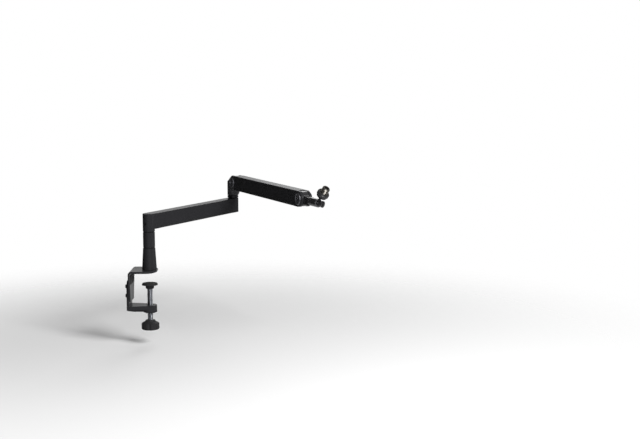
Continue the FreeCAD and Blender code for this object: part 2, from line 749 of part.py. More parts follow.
def elbow_seat():
    return tube(half_width - SEAM_INSET, ELBOW_PIN_RADIUS + LOOSE, lower_top, ring_bottom, LOWER_LENGTH)


def elbow_ring():
    ring = ring_with_edges(half_width, ELBOW_PIN_RADIUS + LOOSE, ring_bottom, ring_top, EDGE)
    ring.translate(Vector(LOWER_LENGTH, 0, 0))
    return ring


def elbow_plug():
    bottom = lower_bottom + FACE_GAP
    return cylinder(NUT_POCKET_RADIUS, bottom, bottom + ELBOW_PLUG_THICKNESS, LOWER_LENGTH)


pieces["lower_beam"] = on_lower_arm(lower_beam())
pieces["lower_cover"] = on_lower_arm(lower_cover())
pieces["root_bush"] = on_lower_arm(root_bush())
pieces["root_screw"] = on_lower_arm(root_screw())
pieces["elbow_bush"] = on_lower_arm(elbow_bush())
pieces["elbow_seat"] = on_lower_arm(elbow_seat())
pieces["elbow_ring"] = on_lower_arm(elbow_ring())
pieces["elbow_plug"] = on_lower_arm(elbow_plug())

# Elbow: a yoke that turns on the lower arm and carries the upper arm between two round ears

spring_top = nut_pocket_top - FACE_GAP
elbow_nut_top = spring_top - SPRING_HEIGHT
elbow_nut_bottom = elbow_nut_top - ELBOW_NUT_HEIGHT
elbow_pin_top = yoke_bottom + ELBOW_PIN_SEAT
elbow_cap_radius = EAR_RADIUS - CAP_INSET
cap_seat = half_width - CAP_RECESS
head_seat = cap_seat - BOLT_HEAD_HEIGHT


def elbow_yoke():
    """The plan is the arm's round end drawn out; the side view is a round ear on a hollowed neck, which
    flares from a round foot. A slot between the ears takes the upper arm's tongue, from straight ahead to
    straight up."""
    hinge = (ELBOW_OFFSET, hinge_height)
    ear_start = on_arc(*hinge, EAR_RADIUS, -100)
    ear_middle = on_arc(*hinge, EAR_RADIUS, 10)
    ear_end = on_arc(*hinge, EAR_RADIUS, 90 + YOKE_BACK_SLOPE)
    back_x = -half_width - PAST
    back_z = ear_end[1] - (ear_end[0] - back_x) * tan(radians(YOKE_BACK_SLOPE))
    foot_x = half_width + YOKE_FOOT_STEP
    run = ear_start[0] - foot_x
    rise = ear_start[1] - yoke_bottom
    neck_middle = (foot_x + run * (1 - cos(pi / 4)), yoke_bottom + rise * sin(pi / 4))
    outline = [(back_x, yoke_bottom), (foot_x, yoke_bottom), (neck_middle, ear_start), (ear_middle, ear_end),
               (back_x, back_z)]
    body = side_prism(outline, half_width)
    above = upper_top + PAST
    ear_front = ELBOW_OFFSET + 2 * EAR_RADIUS
    body = body.common(stadium(half_width, 0, ear_front, yoke_bottom - PAST, above))
    foot = turned([(0, yoke_bottom), (half_width, yoke_bottom), (half_width + YOKE_FLARE, upper_bottom),
                   (2 * ear_front, upper_bottom), (2 * ear_front, above), (0, above)])
    body = body.common(foot)
    body = body.cut(ear_bevels(hinge))
    reach = TONGUE_RADIUS + SLOT_CLEARANCE
    front = ELBOW_OFFSET + EAR_RADIUS + PAST
    ear_bottom = hinge_height - EAR_RADIUS - PAST
    cuts = [cross_cylinder(reach, -slot_half, slot_half, *hinge),
            block(ELBOW_OFFSET - reach, front, -slot_half, slot_half, hinge_height, above),
            block(ELBOW_OFFSET, front, -slot_half, slot_half, ear_bottom, above),
            cylinder(ELBOW_PIN_RADIUS, yoke_bottom - PAST, elbow_pin_top)]
    return body.cut(cuts).cut(hinge_holes(ELBOW_OFFSET, elbow_cap_radius))


def ear_bevels(hinge):
    """Cuts that bevel both ears' rims, round the ear and on along the sloping back."""
    bevels = []
    back_angle = 90 + YOKE_BACK_SLOPE
    outer = EAR_RADIUS + PAST
    inner = outer - EAR_BEVEL - 2 * PAST
    for side in (1, -1):
        crest = side * (half_width + PAST)
        corners = [(inner, crest), (outer, crest), (outer, crest - side * (outer - inner))]
        points = [on_arc(*hinge, r, back_angle) for r, y in corners]
        section = filled([Vector(x, y, z) for (x, z), (r, y) in zip(points, corners)])
        bevels.append(section.revolve(Vector(hinge[0], 0, hinge[1]), Y_AXIS, back_angle - EAR_BEVEL_END))
        along_back = Vector(-cos(radians(YOKE_BACK_SLOPE)), 0, -sin(radians(YOKE_BACK_SLOPE)))
        bevels.append(section.extrude(along_back * 2 * ELBOW_OFFSET))
    return bevels


def hinge_holes(x, cap_radius):
    """The through hole, the two head pockets and the two cap recesses of a hinge."""
    beyond = half_width + PAST
    holes = [cross_cylinder(BOLT_RADIUS, -beyond, beyond, x, hinge_height)]
    for start, radius in ((head_seat, BOLT_HEAD_RADIUS), (cap_seat, cap_radius)):
        holes.append(cross_cylinder(radius, start, beyond, x, hinge_height))
        holes.append(cross_cylinder(radius, -beyond, -start, x, hinge_height))
    return holes


def hinge_bolt(x):
    """A shoulder bolt with a socket in its head, which is on the -Y side."""
    head = cross_cylinder(BOLT_HEAD_RADIUS, -cap_seat, -head_seat, x, hinge_height)
    shank = cross_cylinder(BOLT_RADIUS, -head_seat, head_seat, x, hinge_height)
    socket = hexagon(BOLT_SOCKET, 0, SOCKET_DEPTH)
    socket.rotate(ORIGIN, X_AXIS, -90)
    socket.translate(Vector(x, -cap_seat, hinge_height))
    return joined([head, shank]).cut(socket)


def hinge_nut(x):
    """A round nut with two pin holes, on the +Y side."""
    nut = cross_cylinder(BOLT_HEAD_RADIUS, head_seat, cap_seat, x, hinge_height)
    middle = (head_seat + cap_seat) / 2
    return nut.cut([cross_cylinder(NUT_PIN_RADIUS, middle, cap_seat + PAST, x + offset, hinge_height)
                    for offset in (-NUT_PIN_OFFSET, NUT_PIN_OFFSET)])


def hinge_cap(x, cap_radius, side):
    """A thin cap with a bevelled rim and a bevelled hole over the bolt's socket."""
    bevel_start = CAP_THICKNESS - CAP_BEVEL
    cap = turned([(CAP_HOLE_RADIUS, 0), (cap_radius, 0), (cap_radius, bevel_start),
                  (cap_radius - CAP_BEVEL, CAP_THICKNESS), (CAP_HOLE_RADIUS + CAP_BEVEL, CAP_THICKNESS),
                  (CAP_HOLE_RADIUS, bevel_start)])
    cap.rotate(ORIGIN, X_AXIS, -90 * side)
    cap.translate(Vector(x, side * cap_seat, hinge_height))
    return cap


def hinge_washers(x, tongue_radius):
    """Two friction washers on the flanks of a tongue."""
    rings = []
    for side in (1, -1):
        start, end = sorted((side * tongue_half, side * (tongue_half + WASHER_THICKNESS)))
        ring = cross_cylinder(tongue_radius - WASHER_INSET, start, end, x, hinge_height)
        rings.append(ring.cut(cross_cylinder(BOLT_RADIUS + LOOSE, start - PAST, end + PAST, x, hinge_height)))
    return Part.makeCompound(rings)


def tongue_bush(x):
    outer = cross_cylinder(tongue_bore, -tongue_half, tongue_half, x, hinge_height)
    return outer.cut(cross_cylinder(BOLT_RADIUS + RUNNING, -half_width, half_width, x, hinge_height))


def elbow_washer():
    return tube(half_width - SEAM_INSET, ELBOW_PIN_RADIUS, ring_top + FACE_GAP, yoke_bottom)


def elbow_pin():
    """Pressed into the yoke above, and threaded for the nut below."""
    end = elbow_nut_bottom - PAST
    return turned([(0, end), (ELBOW_PIN_RADIUS - EDGE, end), (ELBOW_PIN_RADIUS, end + EDGE),
                   (ELBOW_PIN_RADIUS, elbow_pin_top), (0, elbow_pin_top)])


def elbow_nut():
    nut = hexagon(ELBOW_NUT_FLATS, elbow_nut_bottom, elbow_nut_top)
    return nut.cut(cylinder(ELBOW_PIN_RADIUS, elbow_nut_bottom - PAST, elbow_nut_top + PAST))


pieces["elbow_yoke"] = on_upper_arm(elbow_yoke())
pieces["elbow_washer"] = on_upper_arm(elbow_washer())
pieces["elbow_pin"] = on_upper_arm(elbow_pin())
pieces["elbow_nut"] = on_upper_arm(elbow_nut())
pieces["elbow_spring"] = on_upper_arm(tube(SPRING_RADIUS, ELBOW_PIN_RADIUS, elbow_nut_top, spring_top))
pieces["elbow_bolt"] = on_upper_arm(hinge_bolt(ELBOW_OFFSET))
pieces["elbow_bolt_nut"] = on_upper_arm(hinge_nut(ELBOW_OFFSET))
pieces["elbow_cap_near"] = on_upper_arm(hinge_cap(ELBOW_OFFSET, elbow_cap_radius, -1))
pieces["elbow_cap_far"] = on_upper_arm(hinge_cap(ELBOW_OFFSET, elbow_cap_radius, 1))

# Upper arm: a channel with a cast tongue in one end, a cast fork in the other and a cover below

roof_height = upper_top - BAR_ROOF
plug_bottom = upper_bottom + COVER_DEPTH + PLUG_GAP
tongue_plug_start = ELBOW_OFFSET + SHOULDER_RADIUS + PAST
tongue_plug_end = ELBOW_OFFSET + SHOULDER_RADIUS + PLUG_LENGTH
fork_plug_start = fork_hinge - FORK_SEAM_RADIUS - PLUG_LENGTH + PLUG_LAP
fork_plug_end = fork_hinge - FORK_TONGUE_RADIUS - SLOT_CLEARANCE - PLUG_LAP
plug_core_half = inner_half - PLUG_WALL


def seam_bevels(radius, side_of_seam):
    """Two cone rings that break the outer edges of the fork's round seam at 45 degrees, outside it for
    the bar (side_of_seam +1) and inside it for the fork (-1)."""
    wide = radius + side_of_seam * (SEAM_BEVEL + PAST)
    narrow = radius - side_of_seam * PAST
    rings = []
    for face in (half_width, -half_width):
        out = 1 if face > 0 else -1
        outer = face + out * PAST
        inner = face - out * (SEAM_BEVEL + PAST)
        section = filled([Vector(wide, outer, 0), Vector(narrow, outer, 0), Vector(narrow, inner, 0)])
        ring = section.revolve(ORIGIN, Y_AXIS, 360)
        ring.translate(Vector(fork_hinge, 0, hinge_height))
        rings.append(ring)
    return rings


def end_arcs():
    """The two arcs that end the bar and its cover, one round each hinge."""
    beyond = half_width + PAST
    return [cross_cylinder(SHOULDER_RADIUS, -beyond, beyond, ELBOW_OFFSET, hinge_height),
            cross_cylinder(FORK_SEAM_RADIUS, -beyond, beyond, fork_hinge, hinge_height)]


def long_top_edges(shape):
    return [e for e in edges_at_height(shape, upper_top) if e.BoundBox.XLength > PAST]


def upper_beam():
    """The bar's section drawn out, cut by an arc round each hinge."""
    bar = block(ELBOW_OFFSET, fork_hinge, -half_width, half_width, upper_bottom, upper_top)
    bar = bar.makeFillet(BAR_ROUND, long_top_edges(bar))
    start = ELBOW_OFFSET - PAST
    end = fork_hinge + PAST
    below = upper_bottom - PAST
    beyond = half_width + PAST
    channel = block(start, end, -inner_half, inner_half, below, roof_height)
    cover_step = block(start, end, -beyond, beyond, below, upper_bottom + COVER_DEPTH)
    bar = bar.cut([channel, cover_step] + end_arcs() + seam_bevels(FORK_SEAM_RADIUS, 1))
    return joined([bar] + roof_ribs(tongue_plug_end, fork_plug_start, roof_height))


def elbow_tongue():
    """A flat tongue that widens to a plug inside the channel, with a cored underside."""
    eye = cross_cylinder(TONGUE_RADIUS, -tongue_half, tongue_half, ELBOW_OFFSET, hinge_height)
    bridge = block(ELBOW_OFFSET, tongue_plug_start + PLUG_WALL, -tongue_half, tongue_half,
                   hinge_height - TONGUE_RISE, hinge_height + TONGUE_RISE)
    plug = block(tongue_plug_start, tongue_plug_end, -inner_half, inner_half, plug_bottom, roof_height)
    core = block(tongue_plug_start + 2 * PLUG_WALL, tongue_plug_end + PAST, -plug_core_half, plug_core_half,
                 plug_bottom - PAST, roof_height - PLUG_ROOF)
    return joined([eye, bridge, plug]).cut(core).cut(
        cross_cylinder(tongue_bore, -half_width, half_width, ELBOW_OFFSET, hinge_height))


def end_fork():
    """Two round ears, a waist that follows the bar's seam, and a cored plug inside the channel. The slot is
    round behind the eye, and open above and below where the neck swings through."""
    end_radius = BAR_HEIGHT / 2
    beyond = half_width + PAST
    seam_radius = FORK_SEAM_RADIUS - COVER_SEAM
    waist = block(fork_hinge - FORK_SEAM_RADIUS, fork_hinge, -half_width, half_width, upper_bottom, upper_top)
    waist = waist.common(cross_cylinder(seam_radius, -beyond, beyond, fork_hinge, hinge_height))
    waist = waist.makeFillet(BAR_ROUND, long_top_edges(waist))
    eye_room = FORK_TONGUE_RADIUS + SLOT_CLEARANCE
    neck_room = NECK_HALF_AT_EYE + HEAD_DROP + SLOT_CLEARANCE
    slot = [cross_cylinder(eye_room, -slot_half, slot_half, fork_hinge, hinge_height),
            block(fork_hinge - neck_room, fork_hinge + PAST, -slot_half, slot_half, upper_bottom - PAST,
                  upper_top + PAST)]
    waist = waist.cut(slot + seam_bevels(seam_radius, -1))
    ears = []
    for start, end, outside in ((-half_width, -slot_half, -half_width), (slot_half, half_width, half_width)):
        ear = cross_cylinder(end_radius, start, end, fork_hinge, hinge_height)
        rim = [e for e in ear.Edges if all(abs(v.Point.y - outside) < 1e-4 for v in e.Vertexes)]
        ears.append(ear.makeChamfer(EAR_BEVEL, rim))
    plug = block(fork_plug_start, fork_plug_end, -inner_half, inner_half, plug_bottom, roof_height)
    core_end = fork_hinge - FORK_SEAM_RADIUS - PLUG_LAP
    core = block(fork_plug_start - PAST, core_end, -plug_core_half, plug_core_half, plug_bottom - PAST,
                 roof_height - PLUG_ROOF)
    return joined([waist, plug.cut(core)] + ears).cut(hinge_holes(fork_hinge, FORK_CAP_RADIUS))


def upper_cover():
    """The cover follows the same two arcs as the bar; its slots open under the cored plugs."""
    slot_half_length = COVER_SLOT_LENGTH / 2 - PLUG_LAP
    slots = (tongue_plug_end - slot_half_length, fork_plug_start + slot_half_length)
    cover = arm_cover(ELBOW_OFFSET, fork_hinge, upper_bottom, slots)
    return cover.cut(end_arcs() + seam_bevels(FORK_SEAM_RADIUS, 1))


def plug_pins(x):
    """Two short pins through the bar's walls that hold a plug."""
    height = upper_bottom + COVER_DEPTH + PLUG_PIN_RISE
    spans = ((plug_core_half, half_width), (-half_width, -plug_core_half))
    return [cross_cylinder(PLUG_PIN_RADIUS, start, end, x, height) for start, end in spans]


tongue_pins = plug_pins(tongue_plug_end - PLUG_PIN_INSET)
fork_pins = plug_pins(fork_plug_start + PLUG_PIN_INSET)
pieces["upper_beam"] = on_upper_arm(upper_beam().cut(tongue_pins + fork_pins))
pieces["upper_cover"] = on_upper_arm(upper_cover())
pieces["elbow_tongue"] = on_upper_arm(elbow_tongue().cut(tongue_pins))
pieces["elbow_tongue_bush"] = on_upper_arm(tongue_bush(ELBOW_OFFSET))
pieces["elbow_friction_washers"] = on_upper_arm(hinge_washers(ELBOW_OFFSET, TONGUE_RADIUS))
pieces["end_fork"] = on_upper_arm(end_fork().cut(fork_pins))
pieces["plug_pins"] = on_upper_arm(Part.makeCompound(tongue_pins + fork_pins))
pieces["fork_bolt"] = on_upper_arm(hinge_bolt(fork_hinge))
pieces["fork_bolt_nut"] = on_upper_arm(hinge_nut(fork_hinge))
pieces["fork_cap_near"] = on_upper_arm(hinge_cap(fork_hinge, FORK_CAP_RADIUS, -1))
pieces["fork_cap_far"] = on_upper_arm(hinge_cap(fork_hinge, FORK_CAP_RADIUS, 1))

# Head: a knuckle in the fork, and a ball housing that rolls on it

housing_back = ball_at - HOUSING_TAIL
housing_front = ball_at + HOUSING_NOSE
knuckle_front = housing_back - LOOSE
bore_radius = HOUSING_RADIUS - HOUSING_WALL
bore_start = housing_back + HOUSING_FLOOR
roll_head_start = bore_start + LOOSE
seat_start = roll_head_start + ROLL_PIN_HEAD + LOOSE
bezel_seat = housing_front - BEZEL_LIP
bezel_start = ball_at + LOCK_SCREW_RADIUS + EDGE
socket_radius = BALL_RADIUS + LOOSE
neck_slot = NECK_RADIUS + STUD_SLOT_GAP
lock_pad_face = HOUSING_RADIUS + LOCK_PAD_RISE
lock_knob_start = lock_pad_face + LOOSE
lock_knob_end = lock_knob_start + LOCK_KNOB_LENGTH


def head_knuckle():
    """A flat tongue with a shallow pocket on each flank, which swells to a round collar."""
    neck_end = knuckle_front - COLLAR_LENGTH
    swell_start = neck_end - SWELL_LENGTH
    eye = cross_cylinder(FORK_TONGUE_RADIUS, -tongue_half, tongue_half, fork_hinge, hinge_height)
    neck_front = neck_end + PAST
    neck = side_prism([(fork_hinge, head_height - NECK_HALF_AT_EYE),
                       (neck_front, head_height - NECK_HALF_AT_COLLAR),
                       (neck_front, head_height + NECK_HALF_AT_COLLAR),
                       (fork_hinge, head_height + NECK_HALF_AT_EYE)], tongue_half)
    swell = long_cone(tongue_half, HOUSING_RADIUS, swell_start, neck_end, head_height)
    collar_end = knuckle_front - EDGE
    collar = long_cylinder(HOUSING_RADIUS, neck_end, collar_end, head_height)
    collar_edge = long_cone(HOUSING_RADIUS, HOUSING_RADIUS - EDGE, collar_end, knuckle_front, head_height)
    pocket_end = swell_start - PAST
    pocket_start = pocket_end - KNUCKLE_POCKET_SHARE * (swell_start - fork_hinge)
    pocket = block(pocket_start, pocket_end, -half_width, half_width, head_height - KNUCKLE_POCKET_HALF,
                   head_height + KNUCKLE_POCKET_HALF)
    web_half = tongue_half - KNUCKLE_POCKET_DEPTH
    web = block(fork_hinge, knuckle_front, -web_half, web_half, upper_bottom, upper_top)
    bores = [cross_cylinder(tongue_bore, -half_width, half_width, fork_hinge, hinge_height),
             long_cylinder(ROLL_PIN_RADIUS, knuckle_front - ROLL_PIN_GRIP, knuckle_front + PAST, head_height)]
    return joined([eye, neck, swell, collar, collar_edge]).cut([pocket.cut(web)] + bores)


def roll_pin():
    """The pin that the housing rolls on, with a round head behind the ball seat."""
    shank = long_cylinder(ROLL_PIN_RADIUS, knuckle_front - ROLL_PIN_GRIP, roll_head_start, head_height)
    head = long_cylinder(ROLL_PIN_HEAD_RADIUS, roll_head_start, roll_head_start + ROLL_PIN_HEAD, head_height)
    return joined([shank, head])


def stud_slot():
    """The space that the neck swings through, from the ball upwards and out at the front."""
    top = head_height + HOUSING_RADIUS + PAST
    return joined([cylinder(neck_slot, head_height, top, ball_at),
                   block(ball_at, housing_front + PAST, -neck_slot, neck_slot, head_height, top)])


def head_housing():
    """A barrel bored from the front, with a boss for the lock screw on its side."""
    rear = long_cone(HOUSING_RADIUS - EDGE, HOUSING_RADIUS, housing_back, housing_back + EDGE, head_height)
    barrel = long_cylinder(HOUSING_RADIUS, housing_back + EDGE, bezel_seat, head_height)
    pad = cross_cylinder(LOCK_PAD_RADIUS, 0, lock_pad_face, ball_at, head_height)
    cuts = [long_cylinder(ROLL_PIN_RADIUS + RUNNING, housing_back - PAST, bore_start + PAST, head_height),
            long_cylinder(bore_radius, bore_start, housing_front + PAST, head_height),
            cross_cylinder(LOCK_SCREW_RADIUS + RUNNING, 0, lock_pad_face + PAST, ball_at, head_height),
            stud_slot()]
    return joined([rear, barrel, pad]).cut(cuts)


def socket_bezel():
    """A ring screwed into the mouth: a round seat behind, and a flare that lets the neck lean."""
    ball = Part.makeSphere(socket_radius, Vector(ball_at, 0, head_height))
    flare = long_cone(MOUTH_RADIUS, FLARE_RADIUS, ball_at + FLARE_START, housing_front, head_height)
    mouth = long_cylinder(MOUTH_RADIUS, ball_at, housing_front + PAST, head_height)
    sleeve = long_cylinder(bore_radius, bezel_start, bezel_seat, head_height)
    rim = long_cone(HOUSING_RADIUS, HOUSING_RADIUS - BEZEL_TAPER, bezel_seat, housing_front, head_height)
    return joined([sleeve, rim]).cut([ball, flare, mouth, stud_slot()])


def ball_seat():
    ball = Part.makeSphere(socket_radius, Vector(ball_at, 0, head_height))
    cup = long_cylinder(bore_radius, seat_start, ball_at - neck_slot - EDGE, head_height)
    return cup.cut(ball)


def lock_knob():
    """A small fluted knob on the side of the housing."""
    start = lock_knob_start
    end = lock_knob_end
    knob = ring_with_edges(LOCK_KNOB_RADIUS, LOCK_SCREW_RADIUS, start, end, LOCK_RING_EDGE)
    reach = LOCK_KNOB_RADIUS + EDGE
    knob = knob.cut(ring_of(LOCK_KNOB_FLUTES, LOCK_KNOB_FLUTE_RADIUS, reach, start - PAST, end + PAST))
    knob.rotate(ORIGIN, X_AXIS, -90)
    knob.translate(Vector(ball_at, 0, head_height))
    return knob


def lock_screw():
    end = lock_knob_end - EDGE
    screw = cross_cylinder(LOCK_SCREW_RADIUS, BALL_RADIUS + LOOSE, end, ball_at, head_height)
    socket = hexagon(LOCK_SCREW_SOCKET, 0, SOCKET_DEPTH)
    socket.rotate(ORIGIN, X_AXIS, 90)
    socket.translate(Vector(ball_at, end, head_height))
    return screw.cut(socket)


pieces["head_knuckle"] = on_upper_arm(head_knuckle())
pieces["knuckle_bush"] = on_upper_arm(tongue_bush(fork_hinge))
pieces["knuckle_washers"] = on_upper_arm(hinge_washers(fork_hinge, FORK_TONGUE_RADIUS))
pieces["roll_pin"] = on_upper_arm(roll_pin())
pieces["head_housing"] = on_head(head_housing())
pieces["socket_bezel"] = on_head(socket_bezel())
pieces["ball_seat"] = on_head(ball_seat())
pieces["lock_knob"] = on_head(lock_knob())
pieces["lock_screw"] = on_head(lock_screw())

# Ball stud: along +Z from the ball until it is leaned into place

flange_end = FLANGE_START + FLANGE_THICKNESS
ring_start = flange_end + LOCK_RING_GAP
ring_end = ring_start + LOCK_RING_HEIGHT
ring_pad_end = ring_end + RING_PAD_THICKNESS
ring_bore = THREAD_RADIUS + LOOSE
thread_end = ring_pad_end + THREAD_LENGTH


def ball_stud():
    """A ball, a neck that flares into a flange, and a slim threaded core."""
    core_end = thread_end - CORE_INSET
    stem = turned([(0, 0), (NECK_RADIUS, 0), (NECK_RADIUS, FLANGE_START - NECK_FLARE_LENGTH),
                   (NECK_RADIUS + NECK_FLARE, FLANGE_START), (FLANGE_RADIUS - EDGE, FLANGE_START),
                   (FLANGE_RADIUS, FLANGE_START + EDGE), (FLANGE_RADIUS, flange_end - EDGE),
                   (FLANGE_RADIUS - EDGE, flange_end), (CORE_RADIUS, flange_end), (CORE_RADIUS, core_end),
                   (0, core_end)])
    return joined([Part.makeSphere(BALL_RADIUS), stem])


def thread_adapter():
    """A sleeve that turns the slim inner thread into the wide outer one, with a driver slot in its end."""
    root = THREAD_RADIUS - THREAD_DEPTH
    relief_end = ring_pad_end + THREAD_RELIEF
    sleeve = turned([(CORE_RADIUS, flange_end), (THREAD_RADIUS, flange_end), (THREAD_RADIUS, ring_pad_end),
                     (root, ring_pad_end), (root, relief_end), (THREAD_RADIUS, relief_end),
                     (THREAD_RADIUS, thread_end - THREAD_DEPTH), (root, thread_end),
                     (CORE_RADIUS, thread_end)])
    half_slot = DRIVER_SLOT_WIDTH / 2
    slot = block(-THREAD_RADIUS, THREAD_RADIUS, -half_slot, half_slot, thread_end - DRIVER_SLOT_DEPTH,
                 thread_end + PAST)
    return sleeve.cut(slot)


def lock_ring():
    """A ring nut with grip notches round its rim."""
    ring = ring_with_edges(LOCK_RING_RADIUS, ring_bore, ring_start, ring_end, LOCK_RING_EDGE)
    reach = LOCK_RING_RADIUS + LOCK_RING_NOTCH_RADIUS / 2
    notches = ring_of(LOCK_RING_NOTCHES, LOCK_RING_NOTCH_RADIUS, reach, ring_start - PAST, ring_end + PAST)
    return ring.cut(notches)


pieces["ball_stud"] = on_stud(ball_stud())
pieces["thread_adapter"] = on_stud(thread_adapter())
pieces["lock_ring"] = on_stud(lock_ring())
pieces["ring_pad"] = on_stud(tube(LOCK_RING_RADIUS - RING_PAD_INSET, ring_bore, ring_end, ring_pad_end))

os.makedirs("parts", exist_ok=True)
for name, shape in pieces.items():
    shape.exportStep("parts/" + name + ".step")
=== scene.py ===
import json
from math import radians

import bmesh
import bpy
import numpy as np
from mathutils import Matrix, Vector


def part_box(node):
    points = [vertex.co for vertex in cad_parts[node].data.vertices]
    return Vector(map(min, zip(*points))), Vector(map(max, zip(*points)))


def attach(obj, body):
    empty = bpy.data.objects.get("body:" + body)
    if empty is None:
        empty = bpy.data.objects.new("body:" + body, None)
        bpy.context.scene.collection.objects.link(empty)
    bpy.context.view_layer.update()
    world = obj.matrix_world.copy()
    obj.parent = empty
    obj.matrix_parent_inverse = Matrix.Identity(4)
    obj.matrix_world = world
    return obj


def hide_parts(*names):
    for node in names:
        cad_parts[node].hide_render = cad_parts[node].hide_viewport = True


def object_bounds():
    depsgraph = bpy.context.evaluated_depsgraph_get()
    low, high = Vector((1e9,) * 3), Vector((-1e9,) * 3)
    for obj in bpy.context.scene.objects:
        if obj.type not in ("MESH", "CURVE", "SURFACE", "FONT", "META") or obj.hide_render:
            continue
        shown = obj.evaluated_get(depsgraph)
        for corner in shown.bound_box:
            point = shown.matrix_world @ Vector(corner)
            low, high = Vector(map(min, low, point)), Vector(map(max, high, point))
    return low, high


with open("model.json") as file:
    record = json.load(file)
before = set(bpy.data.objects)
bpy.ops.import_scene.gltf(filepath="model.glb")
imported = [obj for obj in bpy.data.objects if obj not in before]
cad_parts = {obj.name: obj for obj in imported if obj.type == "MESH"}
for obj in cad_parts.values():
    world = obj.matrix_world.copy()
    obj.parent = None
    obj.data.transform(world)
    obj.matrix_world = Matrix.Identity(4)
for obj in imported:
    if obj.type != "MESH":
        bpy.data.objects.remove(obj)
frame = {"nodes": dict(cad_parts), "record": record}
cad_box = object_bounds()

# View
# The arm is seen from in front with a 70 mm lens that is level from side to side and tipped a few degrees
# downwards. The picture is 640 by 439. Here and below, a size is in metres unless its name says mm.
LENS_MM = 70.0
SENSOR_MM = 36.0
EYE = (0.3655, -2.6321, 0.4562)
TIP_DOWN = 7.44

lens = bpy.data.cameras.new("view_lens")
lens.lens = LENS_MM
lens.sensor_width = SENSOR_MM
lens.sensor_fit = "HORIZONTAL"
view = bpy.data.objects.new("view", lens)
view.location = EYE
view.rotation_euler = (radians(90 - TIP_DOWN), 0, 0)
bpy.context.scene.collection.objects.link(view)
bpy.context.scene.camera = view


# Clamp, post and beams
# The clamp is pressed steel with a cast jaw, the post is turned, and the beams are folded channels with cast
# hinge ends. All of them are blasted, sprayed with matt black powder and baked.
def linear(code):
    """An sRGB hex colour as linear red, green, blue and alpha."""
    share = np.array([int(code[i:i + 2], 16) for i in (1, 3, 5)]) / 255
    light = np.where(share <= 0.04045, share / 12.92, ((share + 0.055) / 1.055) ** 2.4)
    return (*light.tolist(), 1.0)


def put(tree, kind, sockets=None, **settings):
    """Adds a node with its settings. A socket is given a value, or a link from another node's output."""
    node = tree.nodes.new(kind)
    for name, value in settings.items():
        setattr(node, name, value)
    for name, value in (sockets or {}).items():
        if isinstance(value, bpy.types.NodeSocket):
            tree.links.new(value, node.inputs[name])
        else:
            node.inputs[name].default_value = value
    return node


def new_material(name):
    """An empty material, its node tree and the place of each point on the object."""
    material = bpy.data.materials.new(name)
    material.use_nodes = True
    tree = material.node_tree
    tree.nodes.clear()
    return material, tree, put(tree, "ShaderNodeTexCoord").outputs["Object"]


def dress(material, *names):
    """Gives CAD nodes a material."""
    for name in names:
        mesh = frame["nodes"][name].data
        mesh.materials.clear()
        mesh.materials.append(material)


# Rounding drawn by a shader, with a paler colour painted on edges as a painted highlight: rays for each
# point, and how alike the rounded and the true normal are where the painted highlight starts and where it is
# full.
EDGE_RAYS = 4
EDGE_START = 0.98
EDGE_FULL = 0.80


def rounding_and_edge_highlight(tree, round_mm):
    """The normal with its edges rounded, and a share that is 0 on faces and 1 on edges. The share grows as
    the rounded normal turns away from the true one, and it mixes in a paler colour: a painted highlight on
    the edges."""
    rounded = put(tree, "ShaderNodeBevel", {"Radius": round_mm / 1000}, samples=EDGE_RAYS).outputs["Normal"]
    true = put(tree, "ShaderNodeNewGeometry").outputs["Normal"]
    alike = put(tree, "ShaderNodeVectorMath", {0: rounded, 1: true}, operation="DOT_PRODUCT")
    share = put(tree, "ShaderNodeMapRange", {"Value": alike.outputs["Value"], "From Min": EDGE_START,
                                             "From Max": EDGE_FULL})
    return rounded, share.outputs["Result"]


# Sockets of the Mix node by number, because their names repeat.
SHARE, FIRST, SECOND, MIXED = 0, 6, 7, 2

# Powder coat: the melted grains leave a fine pebbled skin. It is nearly black face on and pale where it is
# seen
# # at a low angle, and its edges are painted a little paler as a painted highlight. The real pebbles are
# about 0.4 mm
# # and are drawn at 1.6 mm so that they show.
COAT_DARK = "#202022"
COAT_PALE = "#2c2c2e"
COAT_EDGE_HIGHLIGHT = "#3f3f41"
COAT_PEBBLE_MM = 1.6
COAT_PEBBLE_HEIGHT_MM = 0.4
COAT_PEBBLE_STRENGTH = 0.06
COAT_CLOUD_MM = 60.0
COAT_CLOUD_RANGE = (0.3, 0.7)
COAT_EDGE_MM = 0.5
COAT_DULLNESS = (0.26, 0.32)
COAT_IOR = 1.5
COAT_MIRROR = 0.065

powder_coat, tree, where = new_material("powder_coat_matt_black")
pebbles = put(tree, "ShaderNodeTexNoise", {"Vector": where, "Scale": 1000 / COAT_PEBBLE_MM})
clouds = put(tree, "ShaderNodeTexNoise", {"Vector": where, "Scale": 1000 / COAT_CLOUD_MM})
rounded, edges = rounding_and_edge_highlight(tree, COAT_EDGE_MM)
colour = put(tree, "ShaderNodeMix", {SHARE: pebbles.outputs["Fac"], FIRST: linear(COAT_DARK),
                                     SECOND: linear(COAT_PALE)}, data_type="RGBA")
# A paler colour on the edges: a painted highlight.
colour = put(tree, "ShaderNodeMix", {SHARE: edges, FIRST: colour.outputs[MIXED],
                                     SECOND: linear(COAT_EDGE_HIGHLIGHT)}, data_type="RGBA")
dullness = put(tree, "ShaderNodeMapRange", {"Value": clouds.outputs["Fac"], "From Min": COAT_CLOUD_RANGE[0],
                                            "From Max": COAT_CLOUD_RANGE[1], "To Min": COAT_DULLNESS[0],
                                            "To Max": COAT_DULLNESS[1]})
bump = put(tree, "ShaderNodeBump", {"Height": pebbles.outputs["Fac"], "Strength": COAT_PEBBLE_STRENGTH,
                                    "Distance": COAT_PEBBLE_HEIGHT_MM / 1000, "Normal": rounded})
shader = put(tree, "ShaderNodeBsdfPrincipled", {"Base Color": colour.outputs[MIXED], "IOR": COAT_IOR,
                                                "Specular IOR Level": COAT_MIRROR,
                                                "Roughness": dullness.outputs["Result"],
                                                "Normal": bump.outputs["Normal"]})
